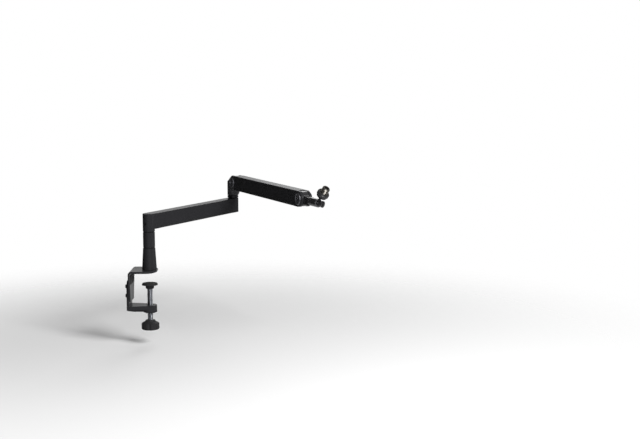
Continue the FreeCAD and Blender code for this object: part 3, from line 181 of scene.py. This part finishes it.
put(tree, "ShaderNodeOutputMaterial", {"Surface": shader.outputs["BSDF"]})

dress(powder_coat, "clamp_bracket", "clamp_jaw", "clamp_foot", "base_post", "riser", "lower_beam",
      "upper_beam", "elbow_tongue", "end_fork")

# Clamp screw
# A steel spindle with a rolled thread of 2 mm pitch runs through a bush in the jaw. Its plain tip turns in
# the foot, and its lower end is moulded into the knob.
SPINDLE_RADIUS = 0.006
SPINDLE_PITCH = 0.002
SPINDLE_THREAD_DEPTH = 0.0011
SPINDLE_TIP_RADIUS = 0.0046
SPINDLE_TIP_LENGTH = 0.0071
SPINDLE_EDGE = 0.0005
SPINDLE_COLUMNS = 48
SPINDLE_ROWS_PER_TURN = 10

# A thread's section, as shares of its depth: how steep its flanks are and how much of its points is cut off.
THREAD_STEEPNESS = 1.5
THREAD_CUT = 0.25

# Points closer than this are one, and an edge sharper than this isn't shaded as round.
SAME_POINT = 1e-7
SHARP_ANGLE = radians(30)


def skin(name, points, closed_rows=False):
    """A mesh over a grid of points (rows, columns, 3). Columns run round and join up. Rows join up too where
    closed_rows is set, and otherwise the first and last ring are each closed with a flat face. Points that
    fall together are made one."""
    rows, columns = points.shape[:2]
    ring = np.arange(rows if closed_rows else rows - 1)[:, None] * columns
    up = (ring + columns) % (rows * columns)
    here = np.arange(columns)[None, :]
    there = (here + 1) % columns
    quads = np.stack([ring + here, ring + there, up + there, up + here], axis=-1).reshape(-1, 4)
    faces = quads.tolist()
    if not closed_rows:
        last = (rows - 1) * columns
        faces.append(here[0][::-1].tolist())
        faces.append((last + here[0]).tolist())
    mesh = bpy.data.meshes.new(name)
    mesh.from_pydata(points.reshape(-1, 3).tolist(), [], faces)
    net = bmesh.new()
    net.from_mesh(mesh)
    bmesh.ops.remove_doubles(net, verts=net.verts, dist=SAME_POINT)
    net.to_mesh(mesh)
    net.free()
    mesh.shade_smooth()
    mesh.set_sharp_from_angle(angle=SHARP_ANGLE)
    piece = bpy.data.objects.new(name, mesh)
    bpy.context.scene.collection.objects.link(piece)
    return piece


def thread_wave(height, angle, pitch):
    """Share of the thread's depth, 0 at the crest and 1 at the root: a triangle wave of height/pitch minus
    angle/turn, with its points cut off."""
    turns = (height / pitch - angle / (2 * np.pi)) % 1.0
    return np.clip(np.abs(2 * turns - 1) * THREAD_STEEPNESS - THREAD_CUT, 0, 1)


def spindle_points():
    """Rings of radius(height, angle): the threaded length, its depth fading in and out over one pitch at
    either end, and then the corners of the plain tip."""
    low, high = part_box("clamp_spindle")
    shoulder = high.z - SPINDLE_TIP_LENGTH
    count = int((shoulder - low.z) / SPINDLE_PITCH * SPINDLE_ROWS_PER_TURN)
    heights = np.linspace(low.z, shoulder - SPINDLE_EDGE, count)
    angles = np.linspace(0, 2 * np.pi, SPINDLE_COLUMNS, endpoint=False)
    fade = np.clip(np.minimum(heights - low.z, heights[-1] - heights) / SPINDLE_PITCH, 0, 1)
    wave = thread_wave(heights[:, None], angles[None, :], SPINDLE_PITCH)
    threaded = SPINDLE_RADIUS - SPINDLE_THREAD_DEPTH * fade[:, None] * wave
    tip_radii = np.array([SPINDLE_RADIUS - SPINDLE_EDGE, SPINDLE_TIP_RADIUS, SPINDLE_TIP_RADIUS,
                          SPINDLE_TIP_RADIUS - SPINDLE_EDGE])
    tip_heights = np.array([shoulder, shoulder, high.z - SPINDLE_EDGE, high.z])
    radii = np.vstack([threaded, np.repeat(tip_radii[:, None], SPINDLE_COLUMNS, axis=1)])
    levels = np.repeat(np.concatenate([heights, tip_heights])[:, None], SPINDLE_COLUMNS, axis=1)
    return np.stack([radii * np.cos(angles), radii * np.sin(angles), levels], axis=-1)


# Zinc-plated steel: bright, faintly clouded by the plating bath, with a soft sheen from the turning.
ZINC = "#9a9ca0"
ZINC_DULL = "#83858a"
ZINC_CLOUD_MM = 4.0
ZINC_DULLNESS = (0.24, 0.42)

zinc_steel, tree, where = new_material("zinc_plated_steel")
clouds = put(tree, "ShaderNodeTexNoise", {"Vector": where, "Scale": 1000 / ZINC_CLOUD_MM})
colour = put(tree, "ShaderNodeMix", {SHARE: clouds.outputs["Fac"], FIRST: linear(ZINC),
                                     SECOND: linear(ZINC_DULL)}, data_type="RGBA")
dullness = put(tree, "ShaderNodeMapRange", {"Value": clouds.outputs["Fac"], "To Min": ZINC_DULLNESS[0],
                                            "To Max": ZINC_DULLNESS[1]})
shader = put(tree, "ShaderNodeBsdfPrincipled", {"Base Color": colour.outputs[MIXED], "Metallic": 1.0,
                                                "Roughness": dullness.outputs["Result"]})
put(tree, "ShaderNodeOutputMaterial", {"Surface": shader.outputs["BSDF"]})

spindle = skin("clamp_screw_thread", spindle_points())
spindle.data.materials.append(zinc_steel)
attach(spindle, "clamp_screw")
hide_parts("clamp_spindle")

dress(zinc_steel, "pivot_shaft", "elbow_pin", "elbow_nut", "elbow_spring", "elbow_bolt", "elbow_bolt_nut",
      "fork_bolt", "fork_bolt_nut", "roll_pin")

# Clamp pads
# Grey-black rubber, cut from sheet under the plate and inside the wall, and moulded with round ridges on the
# foot. All of them are glued on, and so is the washer on the lock ring.
PAD_EDGE = 0.0005
PAD_GROOVE = 0.0006
PAD_RIDGES = 5
PAD_ROWS = 60
PAD_COLUMNS = 64


def foot_pad_points():
    """Rings of a turned section: out along the underside, up the rim and in over the top. The top's height is
    a cosine of the radius, with a ridge at the rim and one at the middle."""
    low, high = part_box("foot_rubber")
    middle = (low + high) / 2
    radius = (high.x - low.x) / 2
    inwards = np.linspace(radius - PAD_EDGE, PAD_EDGE, PAD_ROWS)
    groove = PAD_GROOVE * (0.5 - 0.5 * np.cos(2 * np.pi * PAD_RIDGES * inwards / radius))
    radii = np.concatenate([[PAD_EDGE, radius, radius], inwards])[:, None]
    heights = np.concatenate([[low.z, low.z, high.z - PAD_EDGE], high.z - groove])[:, None]
    angles = np.linspace(0, 2 * np.pi, PAD_COLUMNS, endpoint=False)[None, :]
    across = middle.x + radii * np.cos(angles)
    along = middle.y + radii * np.sin(angles)
    return np.stack([across, along, np.repeat(heights, PAD_COLUMNS, axis=1)], axis=-1)


# Rubber: dull, dusted by its moulding powder, and never quite black.
RUBBER = "#1f1f1f"
RUBBER_DUSTY = "#2b2b2a"
RUBBER_DUST_MM = 0.9
RUBBER_DUST_DETAIL = 4.0
RUBBER_GRAIN_HEIGHT_MM = 0.3
RUBBER_GRAIN_STRENGTH = 0.2
RUBBER_DULLNESS = 0.75
RUBBER_MIRROR = 0.2

rubber, tree, where = new_material("rubber_grey_black")
dust = put(tree, "ShaderNodeTexNoise", {"Vector": where, "Scale": 1000 / RUBBER_DUST_MM,
                                        "Detail": RUBBER_DUST_DETAIL})
colour = put(tree, "ShaderNodeMix", {SHARE: dust.outputs["Fac"], FIRST: linear(RUBBER),
                                     SECOND: linear(RUBBER_DUSTY)}, data_type="RGBA")
bump = put(tree, "ShaderNodeBump", {"Height": dust.outputs["Fac"], "Strength": RUBBER_GRAIN_STRENGTH,
                                    "Distance": RUBBER_GRAIN_HEIGHT_MM / 1000})
shader = put(tree, "ShaderNodeBsdfPrincipled", {"Base Color": colour.outputs[MIXED],
                                                "Roughness": RUBBER_DULLNESS,
                                                "Specular IOR Level": RUBBER_MIRROR,
                                                "Normal": bump.outputs["Normal"]})
put(tree, "ShaderNodeOutputMaterial", {"Surface": shader.outputs["BSDF"]})

foot_pad = skin("ridged_foot_pad", foot_pad_points())
foot_pad.data.materials.append(rubber)
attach(foot_pad, "clamp_foot")
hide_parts("foot_rubber")

dress(rubber, "top_pad", "back_pad", "ring_pad")

# Clamp knob and arm covers
# Injection moulded in black glass-filled nylon. The covers snap into the beams, the plug presses in under the
# elbow and the knob is moulded round its screw.
NYLON_DARK = "#232324"
NYLON_PALE = "#2d2d2e"
NYLON_GRAIN_MM = 1.2
NYLON_GRAIN_DETAIL = 3.0
NYLON_GRAIN_HEIGHT_MM = 0.3
NYLON_GRAIN_STRENGTH = 0.1
NYLON_EDGE_MM = 0.4
NYLON_DULLNESS = 0.5
NYLON_MIRROR = 0.05

# Glass-filled nylon: the spark-eroded mould gives it a fine even grain with hardly any shine. The real grain
# is about 0.3 mm and is drawn at 1.2 mm so that it shows.
moulded_nylon, tree, where = new_material("moulded_nylon_black")
sparks = put(tree, "ShaderNodeTexNoise", {"Vector": where, "Scale": 1000 / NYLON_GRAIN_MM,
                                          "Detail": NYLON_GRAIN_DETAIL})
rounded = put(tree, "ShaderNodeBevel", {"Radius": NYLON_EDGE_MM / 1000}, samples=EDGE_RAYS)
colour = put(tree, "ShaderNodeMix", {SHARE: sparks.outputs["Fac"], FIRST: linear(NYLON_DARK),
                                     SECOND: linear(NYLON_PALE)}, data_type="RGBA")
bump = put(tree, "ShaderNodeBump", {"Height": sparks.outputs["Fac"], "Strength": NYLON_GRAIN_STRENGTH,
                                    "Distance": NYLON_GRAIN_HEIGHT_MM / 1000,
                                    "Normal": rounded.outputs["Normal"]})
shader = put(tree, "ShaderNodeBsdfPrincipled", {"Base Color": colour.outputs[MIXED],
                                                "Roughness": NYLON_DULLNESS,
                                                "Specular IOR Level": NYLON_MIRROR,
                                                "Normal": bump.outputs["Normal"]})
put(tree, "ShaderNodeOutputMaterial", {"Surface": shader.outputs["BSDF"]})

dress(moulded_nylon, "lower_cover", "upper_cover", "elbow_plug", "clamp_knob", "knob_cap")

# Hinge caps
# Four round caps of nylon plated with black chrome, two on each hinge, are pressed into recesses over the
# bolt's head and its nut. Each has a rolled lip and a hole for the key.
CAPS = (("elbow_cap_near", "elbow_tilt", "elbow"), ("elbow_cap_far", "elbow_tilt", "elbow"),
        ("fork_cap_near", "head_tilt", "upper_arm"), ("fork_cap_far", "head_tilt", "upper_arm"))

# How far a cap's face stands above the solid one, its lip's width and rise, and the edge of its hole.
CAP_PROUD = 0.0008
CAP_LIP_WIDTH = 0.0044
CAP_LIP_RISE = 0.0016
CAP_EDGE = 0.0005
CAP_LIP_ROWS = 17
CAP_COLUMNS = 96


def joint(name):
    """A joint of the record."""
    return next(row for row in frame["record"]["behaviour"]["joints"] if row["name"] == name)


def hinge_cap_points(node, hinge):
    """A closed section carried round the hinge's line: up the rim, over the lip, in along the face, down the
    hole and out along the back. The lip is half an ellipse. The node gives the radii and where the back and
    the face lie."""
    middle = np.array(joint(hinge)["pos_m"])
    axis = np.array(joint(hinge)["axis"])
    vertices = frame["nodes"][node].data.vertices
    corners = np.empty(3 * len(vertices))
    vertices.foreach_get("co", corners)
    corners = corners.reshape(-1, 3) - middle
    outward = axis * np.sign(corners.mean(axis=0) @ axis)
    depth = corners @ outward
    spread = np.linalg.norm(corners - depth[:, None] * outward, axis=1)
    back, face, hole, rim = depth.min(), depth.max() + CAP_PROUD, spread.min(), spread.max()
    turn = np.linspace(0, np.pi, CAP_LIP_ROWS)
    lip_radii = rim - CAP_LIP_WIDTH / 2 * (1 - np.cos(turn))
    lip_heights = face + CAP_LIP_RISE * np.sin(turn)
    radii = np.concatenate([[rim], lip_radii, [hole + CAP_EDGE, hole, hole]])
    heights = np.concatenate([[back], lip_heights, [face, face - CAP_EDGE, back]])
    angles = np.linspace(0, 2 * np.pi, CAP_COLUMNS, endpoint=False)
    upright = np.array([0.0, 0.0, 1.0])
    around = np.outer(np.cos(angles), upright) + np.outer(np.sin(angles), np.cross(outward, upright))
    return middle + heights[:, None, None] * outward + radii[:, None, None] * around


# Black chrome: a dark mirror, black where it faces the dim room and bright where its lip catches a lamp.
CHROME_DARK = "#5e5e62"
CHROME_PALE = "#6a6a6e"
CHROME_CLOUD_MM = 4.0
CHROME_DULLNESS = 0.42

black_chrome, tree, where = new_material("black_chrome_plate")
clouds = put(tree, "ShaderNodeTexNoise", {"Vector": where, "Scale": 1000 / CHROME_CLOUD_MM})
colour = put(tree, "ShaderNodeMix", {SHARE: clouds.outputs["Fac"], FIRST: linear(CHROME_DARK),
                                     SECOND: linear(CHROME_PALE)}, data_type="RGBA")
shader = put(tree, "ShaderNodeBsdfPrincipled", {"Base Color": colour.outputs[MIXED], "Metallic": 1.0,
                                                "Roughness": CHROME_DULLNESS})
put(tree, "ShaderNodeOutputMaterial", {"Surface": shader.outputs["BSDF"]})

for node, hinge, body in CAPS:
    cap = skin(f"lipped_{node}", hinge_cap_points(node, hinge), closed_rows=True)
    cap.data.materials.append(black_chrome)
    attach(cap, body)
    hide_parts(node)

# Bushes and washers
# Turned from black acetal, a slippery plastic, and pressed into the bearings. They show as dark lines in the
# seams.
ACETAL = "#0c0c0d"
ACETAL_PALE = "#161617"
ACETAL_CLOUD_MM = 3.0
ACETAL_DULLNESS = 0.45
ACETAL_IOR = 1.48
ACETAL_MIRROR = 0.06

# Acetal: waxy and even, with a dim shine.
acetal, tree, where = new_material("acetal_black")
clouds = put(tree, "ShaderNodeTexNoise", {"Vector": where, "Scale": 1000 / ACETAL_CLOUD_MM})
colour = put(tree, "ShaderNodeMix", {SHARE: clouds.outputs["Fac"], FIRST: linear(ACETAL),
                                     SECOND: linear(ACETAL_PALE)}, data_type="RGBA")
shader = put(tree, "ShaderNodeBsdfPrincipled", {"Base Color": colour.outputs[MIXED],
                                                "Roughness": ACETAL_DULLNESS, "IOR": ACETAL_IOR,
                                                "Specular IOR Level": ACETAL_MIRROR})
put(tree, "ShaderNodeOutputMaterial", {"Surface": shader.outputs["BSDF"]})

dress(acetal, "thread_bush", "riser_seat", "swivel_washer", "root_bush", "elbow_bush", "elbow_seat",
      "elbow_washer", "elbow_tongue_bush", "elbow_friction_washers", "knuckle_bush", "knuckle_washers",
      "ball_seat")

# Screws, pins, ball and elbow ring
# The screws and pins that show on the outside and the ball on its stud are steel, blackened in a hot salt
# bath so
# # that they go with the coat. The spacer ring under the yoke is dressed in the same dark steel so that the
# band
# # under the yoke shows black: painted shade for the seam there.
BLACKENED = "#1b1b1d"
BLACKENED_WORN = "#2c2c2f"
BLACKENED_SMEAR_MM = 2.0
BLACKENED_SMEAR_DETAIL = 3.0
BLACKENED_DULLNESS = (0.3, 0.5)
BLACKENED_METAL = 0.6
BLACKENED_MIRROR = 0.2

# Black oxide: a thin dark film through which the steel still glints, smeared by its oil.
black_steel, tree, where = new_material("black_oxide_steel")
smears = put(tree, "ShaderNodeTexNoise", {"Vector": where, "Scale": 1000 / BLACKENED_SMEAR_MM,
                                          "Detail": BLACKENED_SMEAR_DETAIL})
colour = put(tree, "ShaderNodeMix", {SHARE: smears.outputs["Fac"], FIRST: linear(BLACKENED),
                                     SECOND: linear(BLACKENED_WORN)}, data_type="RGBA")
dullness = put(tree, "ShaderNodeMapRange", {"Value": smears.outputs["Fac"], "To Min": BLACKENED_DULLNESS[0],
                                            "To Max": BLACKENED_DULLNESS[1]})
shader = put(tree, "ShaderNodeBsdfPrincipled", {"Base Color": colour.outputs[MIXED],
                                                "Metallic": BLACKENED_METAL,
                                                "Specular IOR Level": BLACKENED_MIRROR,
                                                "Roughness": dullness.outputs["Result"]})
put(tree, "ShaderNodeOutputMaterial", {"Surface": shader.outputs["BSDF"]})

# The elbow ring is dressed dark as painted shade in the seam under the yoke.
dress(black_steel, "base_screws", "root_screw", "plug_pins", "lock_screw", "jaw_bolts", "ball_stud",
      "elbow_ring")

# Elbow yoke
# Die-cast in zinc alloy, tumbled smooth and painted satin black. It turns on the end of the lower beam, and
# the upper beam tilts between its ears.
SATIN_DARK = "#353537"
SATIN_PALE = "#414143"
SATIN_EDGE_HIGHLIGHT = "#565658"
SATIN_MOTTLE_MM = 6.0
SATIN_MOTTLE_DETAIL = 3.0
SATIN_EDGE_MM = 0.6
SATIN_DULLNESS = (0.34, 0.44)
SATIN_IOR = 1.5
SATIN_MIRROR = 0.12

# Satin paint: smoother and a little paler than the powder coat, with soft highlights on its curves and a
# paler colour painted on its edges as a painted highlight.
satin_paint, tree, where = new_material("satin_black_paint")
mottle = put(tree, "ShaderNodeTexNoise", {"Vector": where, "Scale": 1000 / SATIN_MOTTLE_MM,
                                          "Detail": SATIN_MOTTLE_DETAIL})
rounded, edges = rounding_and_edge_highlight(tree, SATIN_EDGE_MM)
colour = put(tree, "ShaderNodeMix", {SHARE: mottle.outputs["Fac"], FIRST: linear(SATIN_DARK),
                                     SECOND: linear(SATIN_PALE)}, data_type="RGBA")
# A paler colour on the edges: a painted highlight.
colour = put(tree, "ShaderNodeMix", {SHARE: edges, FIRST: colour.outputs[MIXED],
                                     SECOND: linear(SATIN_EDGE_HIGHLIGHT)}, data_type="RGBA")
dullness = put(tree, "ShaderNodeMapRange", {"Value": mottle.outputs["Fac"], "To Min": SATIN_DULLNESS[0],
                                            "To Max": SATIN_DULLNESS[1]})
shader = put(tree, "ShaderNodeBsdfPrincipled", {"Base Color": colour.outputs[MIXED], "IOR": SATIN_IOR,
                                                "Specular IOR Level": SATIN_MIRROR,
                                                "Roughness": dullness.outputs["Result"], "Normal": rounded})
put(tree, "ShaderNodeOutputMaterial", {"Surface": shader.outputs["BSDF"]})

dress(satin_paint, "elbow_yoke")

# Head castings and lock ring
# The knuckle and the ball housing are die-cast in zinc alloy too, and the ring nut on the stud is turned.
# They are polished, dipped in black enamel and stoved. The knuckle tilts in the fork, the housing rolls on
# the knuckle, and the ring nut is screwed up against whatever the stud holds.
ENAMEL_DARK = "#1e1e20"
ENAMEL_PALE = "#262628"
ENAMEL_EDGE_HIGHLIGHT = "#3c3c3e"
ENAMEL_FLOW_MM = 5.0
ENAMEL_EDGE_MM = 0.6
ENAMEL_IOR = 1.5
ENAMEL_DULLNESS = (0.2, 0.3)

# Stoved enamel: deep black with clear highlights, a little uneven where it has flowed, and a paler colour
# painted on its edges as a painted highlight.
enamel, tree, where = new_material("stoved_black_enamel")
flow = put(tree, "ShaderNodeTexNoise", {"Vector": where, "Scale": 1000 / ENAMEL_FLOW_MM})
rounded, edges = rounding_and_edge_highlight(tree, ENAMEL_EDGE_MM)
colour = put(tree, "ShaderNodeMix", {SHARE: flow.outputs["Fac"], FIRST: linear(ENAMEL_DARK),
                                     SECOND: linear(ENAMEL_PALE)}, data_type="RGBA")
# A paler colour on the edges: a painted highlight.
colour = put(tree, "ShaderNodeMix", {SHARE: edges, FIRST: colour.outputs[MIXED],
                                     SECOND: linear(ENAMEL_EDGE_HIGHLIGHT)}, data_type="RGBA")
dullness = put(tree, "ShaderNodeMapRange", {"Value": flow.outputs["Fac"], "To Min": ENAMEL_DULLNESS[0],
                                            "To Max": ENAMEL_DULLNESS[1]})
shader = put(tree, "ShaderNodeBsdfPrincipled", {"Base Color": colour.outputs[MIXED], "IOR": ENAMEL_IOR,
                                                "Roughness": dullness.outputs["Result"], "Normal": rounded})
put(tree, "ShaderNodeOutputMaterial", {"Surface": shader.outputs["BSDF"]})

dress(enamel, "head_knuckle", "head_housing", "lock_ring")

# Socket ring
# A ring of turned aluminium screwed into the mouth of the ball housing to hold the ball's seat, anodised dark
# grey.
ANODISED = "#59595b"
ANODISED_PALE = "#68686a"
ANODISED_GRAIN_MM = 1.5
ANODISED_METAL = 0.7
ANODISED_DULLNESS = 0.45

# Anodised aluminium: a metal's soft sheen under a dark even film.
anodised, tree, where = new_material("anodised_aluminium_grey")
film = put(tree, "ShaderNodeTexNoise", {"Vector": where, "Scale": 1000 / ANODISED_GRAIN_MM})
colour = put(tree, "ShaderNodeMix", {SHARE: film.outputs["Fac"], FIRST: linear(ANODISED),
                                     SECOND: linear(ANODISED_PALE)}, data_type="RGBA")
shader = put(tree, "ShaderNodeBsdfPrincipled", {"Base Color": colour.outputs[MIXED],
                                                "Metallic": ANODISED_METAL,
                                                "Roughness": ANODISED_DULLNESS})
put(tree, "ShaderNodeOutputMaterial", {"Surface": shader.outputs["BSDF"]})

dress(anodised, "socket_bezel")

# Lock knob
# Moulded in black nylon round the end of the screw that clamps the ball. Two fingers turn it, and it locks
# the stud at the angle that was set.
POLISHED_DARK = "#1c1c1e"
POLISHED_PALE = "#242426"
POLISHED_CLOUD_MM = 4.0
POLISHED_IOR = 1.53
POLISHED_DULLNESS = 0.26

# Polished nylon: it comes from a polished mould, so it is smooth and deep black, with a glint on each edge.
polished_nylon, tree, where = new_material("polished_nylon_black")
clouds = put(tree, "ShaderNodeTexNoise", {"Vector": where, "Scale": 1000 / POLISHED_CLOUD_MM})
colour = put(tree, "ShaderNodeMix", {SHARE: clouds.outputs["Fac"], FIRST: linear(POLISHED_DARK),
                                     SECOND: linear(POLISHED_PALE)}, data_type="RGBA")
shader = put(tree, "ShaderNodeBsdfPrincipled", {"Base Color": colour.outputs[MIXED], "IOR": POLISHED_IOR,
                                                "Roughness": POLISHED_DULLNESS})
put(tree, "ShaderNodeOutputMaterial", {"Surface": shader.outputs["BSDF"]})

dress(polished_nylon, "lock_knob")

# Thread adapter
# A steel sleeve on the ball stud, plated with nickel. Its outer thread has 27 turns to the inch, its bore is
# screwed on the stud, and a driver turns it by the slot in its end.
ADAPTER_RADIUS = 0.00794
ADAPTER_BORE = 0.00476
ADAPTER_PITCH = 0.0254 / 27
ADAPTER_DEPTH = 0.0006
ADAPTER_RELIEF = 0.0009

# Heights along the stud from the ball's middle: the plain collar's foot and top, the foot and top of the
# relief above it, the end, and the middle of the thread.
ADAPTER_LEVELS = (0.0215, 0.0295, 0.0295, 0.0305)
ADAPTER_END = 0.0415
ADAPTER_MIDDLE = 0.03555

# Half the driver slot's width, its depth, and the columns in each half of the slot and between its halves.
ADAPTER_SLOT_HALF = 0.0009
ADAPTER_SLOT_DEPTH = 0.0016
ADAPTER_SECTORS = (5, 29, 5, 29)
ADAPTER_ROWS_PER_TURN = 8


def adapter_points():
    """A closed section carried round the stud's line: up the outside with radius(height, angle), over the
    end, and down the bore. Columns are gathered in four sectors between the lines where the slot's sides cut
    each radius, angle = arcsin(half width / radius). In the two slot sectors no height is above the slot's
    floor."""
    step = ADAPTER_PITCH / ADAPTER_ROWS_PER_TURN
    thread = np.arange(ADAPTER_LEVELS[-1], ADAPTER_END - ADAPTER_RELIEF, step)
    inside = [ADAPTER_END, ADAPTER_END, ADAPTER_LEVELS[0]]
    heights = np.concatenate([ADAPTER_LEVELS, thread, inside])[:, None]
    relief = ADAPTER_RADIUS - ADAPTER_RELIEF
    radii = np.concatenate([[ADAPTER_RADIUS, ADAPTER_RADIUS, relief, relief],
                            np.full(thread.size, ADAPTER_RADIUS),
                            [relief, ADAPTER_BORE, ADAPTER_BORE]])[:, None]
    edge = np.arcsin(ADAPTER_SLOT_HALF / radii)
    limits = (-edge, edge, np.pi - edge, np.pi + edge, 2 * np.pi - edge)
    shares = [np.linspace(0, 1, steps)[None, :] for steps in ADAPTER_SECTORS]
    angles = np.hstack([low + (high - low) * share for low, high, share in zip(limits, limits[1:], shares)])
    in_slot = np.repeat([True, False, True, False], ADAPTER_SECTORS)[None, :]
    cut = np.zeros(radii.shape)
    cut[len(ADAPTER_LEVELS):len(ADAPTER_LEVELS) + thread.size] = ADAPTER_DEPTH
    around = radii - cut * thread_wave(heights, angles, ADAPTER_PITCH)
    along = np.where(in_slot, np.minimum(heights, ADAPTER_END - ADAPTER_SLOT_DEPTH), heights)
    return np.stack([around * np.cos(angles), around * np.sin(angles), along], axis=-1)


def on_stud(points):
    """From the ball's own frame to the object's: x goes along the slot and z along the stud. The thread's
    mount gives the stud's line and the middle of the thread."""
    mount = next(m for m in frame["record"]["mounts"] if m["name"] == "mic_thread")
    line = np.array(mount["axis"])
    side = np.cross((0, 0, 1), line)
    side /= np.linalg.norm(side)
    ball = np.array(mount["pos_m"]) - ADAPTER_MIDDLE * line
    return ball + points @ np.stack([np.cross(side, line), side, line])


# Nickel plate: warmer and softer than zinc, dulled where a holder has been screwed on and off.
NICKEL = "#8f8c86"
NICKEL_DULL = "#77746e"
NICKEL_WEAR_MM = 2.5
NICKEL_DULLNESS = (0.22, 0.42)

nickel, tree, where = new_material("nickel_plated_steel")
wear = put(tree, "ShaderNodeTexNoise", {"Vector": where, "Scale": 1000 / NICKEL_WEAR_MM})
colour = put(tree, "ShaderNodeMix", {SHARE: wear.outputs["Fac"], FIRST: linear(NICKEL),
                                     SECOND: linear(NICKEL_DULL)}, data_type="RGBA")
dullness = put(tree, "ShaderNodeMapRange", {"Value": wear.outputs["Fac"], "To Min": NICKEL_DULLNESS[0],
                                            "To Max": NICKEL_DULLNESS[1]})
shader = put(tree, "ShaderNodeBsdfPrincipled", {"Base Color": colour.outputs[MIXED], "Metallic": 1.0,
                                                "Roughness": dullness.outputs["Result"]})
put(tree, "ShaderNodeOutputMaterial", {"Surface": shader.outputs["BSDF"]})

adapter = skin("adapter_thread", on_stud(adapter_points()), closed_rows=True)
adapter.data.materials.append(nickel)
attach(adapter, "stud")
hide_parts("thread_adapter")

# Floor
# A round sheet of pale paper, just below where the knob goes when the clamp is screwed wide open. It thins
# out into the white surround so that no edge shows.
FLOOR_CENTRE = (0.14, 0.0)
FLOOR_RADIUS = 1.2
FLOOR_SOLID = 0.25
FLOOR_PALE = "#ededed"
FLOOR_CORNERS = 64

floor_z = cad_box[0][2] + joint("clamp_travel")["range_m"][0]
rim = np.linspace(0, 2 * np.pi, FLOOR_CORNERS, endpoint=False)
rim_points = np.stack([FLOOR_CENTRE[0] + FLOOR_RADIUS * np.cos(rim),
                       FLOOR_CENTRE[1] + FLOOR_RADIUS * np.sin(rim),
                       np.full(FLOOR_CORNERS, floor_z)], axis=-1)
floor_mesh = bpy.data.meshes.new("floor")
floor_mesh.from_pydata(rim_points.tolist(), [], [list(range(FLOOR_CORNERS))])
floor = bpy.data.objects.new("floor", floor_mesh)
bpy.context.scene.collection.objects.link(floor)

paper, tree, where = new_material("floor_paper")
centred = put(tree, "ShaderNodeVectorMath", {0: where, 1: (*FLOOR_CENTRE, floor_z)}, operation="SUBTRACT")
away = put(tree, "ShaderNodeVectorMath", {0: centred.outputs[0]}, operation="LENGTH")
thinned = put(tree, "ShaderNodeMapRange", {"Value": away.outputs["Value"], "From Min": FLOOR_SOLID,
                                           "From Max": FLOOR_RADIUS}, interpolation_type="SMOOTHSTEP")
pale = put(tree, "ShaderNodeBsdfDiffuse", {"Color": linear(FLOOR_PALE)})
clear = put(tree, "ShaderNodeBsdfTransparent")
sheet = put(tree, "ShaderNodeMixShader", {0: thinned.outputs["Result"], 1: pale.outputs["BSDF"],
                                          2: clear.outputs["BSDF"]})
put(tree, "ShaderNodeOutputMaterial", {"Surface": sheet.outputs["Shader"]})
floor_mesh.materials.append(paper)

# Light
# A soft key lamp stands in front on the right, with a weak fill beside the lens, a rim lamp behind and a
# large panel overhead. The eye sees white all round. The arm mirrors a dim room with a white board on each
# side, and the board on the left is half as bright and hangs higher.
ROOM = 0.06

# Where each board hangs, as a direction from the arm, and its brightness. A board fades in between two
# cosines of the angle from its middle.
BOARDS = (((0, 1, 0), 1.0), ((0, -1, 0), 1.0), ((1, 0, 0), 1.0), ((-0.92, 0, 0.39), 0.5))
BOARD_EDGE = 0.88
BOARD_FULL = 0.98


def lamp(name, place, aim, size, watts):
    """A square soft lamp that faces a point."""
    data = bpy.data.lights.new(name, "AREA")
    data.shape = "SQUARE"
    data.size = size
    data.energy = watts
    body = bpy.data.objects.new(name, data)
    body.location = place
    towards = np.array(aim) - np.array(place)
    pan = np.arctan2(towards[1], towards[0]) - np.pi / 2
    tilt = np.arctan2(towards[2], np.hypot(towards[0], towards[1])) + np.pi / 2
    body.rotation_euler = (tilt, 0, pan)
    bpy.context.scene.collection.objects.link(body)


lamp("key_lamp", place=(1.45, -1.5, 1.3), aim=(0.2, 0.05, 0.1), size=1.0, watts=64)
lamp("front_fill", place=(0.8, -2.6, 0.8), aim=(0.2, 0.0, 0.1), size=0.8, watts=24)
lamp("rim_lamp", place=(0.5, 2.2, 1.4), aim=(0.2, 0.1, 0.1), size=1.0, watts=12)
lamp("ceiling_panel", place=(0.6, 1.1, 2.2), aim=(0.6, 0.9, 0.0), size=2.2, watts=8)

# The Mix node's sockets for plain numbers.
FIRST_NUMBER, SECOND_NUMBER = 2, 3

surround = bpy.data.worlds.new("white_surround")
surround.use_nodes = True
tree = surround.node_tree
tree.nodes.clear()
ray = put(tree, "ShaderNodeLightPath").outputs
towards = put(tree, "ShaderNodeTexCoord").outputs["Generated"]
room = ROOM
for facing, brightness in BOARDS:
    square_on = put(tree, "ShaderNodeVectorMath", {0: towards, 1: facing}, operation="DOT_PRODUCT")
    board = put(tree, "ShaderNodeMapRange", {"Value": square_on.outputs["Value"], "From Min": BOARD_EDGE,
                                             "From Max": BOARD_FULL, "To Max": brightness},
                interpolation_type="SMOOTHSTEP")
    brighter = put(tree, "ShaderNodeMath", {0: room, 1: board.outputs["Result"]}, operation="MAXIMUM")
    room = brighter.outputs[0]
mirrored = put(tree, "ShaderNodeMix", {SHARE: ray["Is Glossy Ray"], FIRST_NUMBER: ROOM, SECOND_NUMBER: room})
seen = put(tree, "ShaderNodeMath", {0: ray["Is Camera Ray"], 1: ray["Is Transmission Ray"]},
           operation="MAXIMUM")
level = put(tree, "ShaderNodeMath", {0: mirrored.outputs[0], 1: seen.outputs[0]}, operation="MAXIMUM")
light = put(tree, "ShaderNodeBackground", {"Color": (1, 1, 1, 1), "Strength": level.outputs[0]})
put(tree, "ShaderNodeOutputWorld", {"Surface": light.outputs[0]})
bpy.context.scene.world = surround
bpy.context.scene.view_settings.view_transform = "Standard"
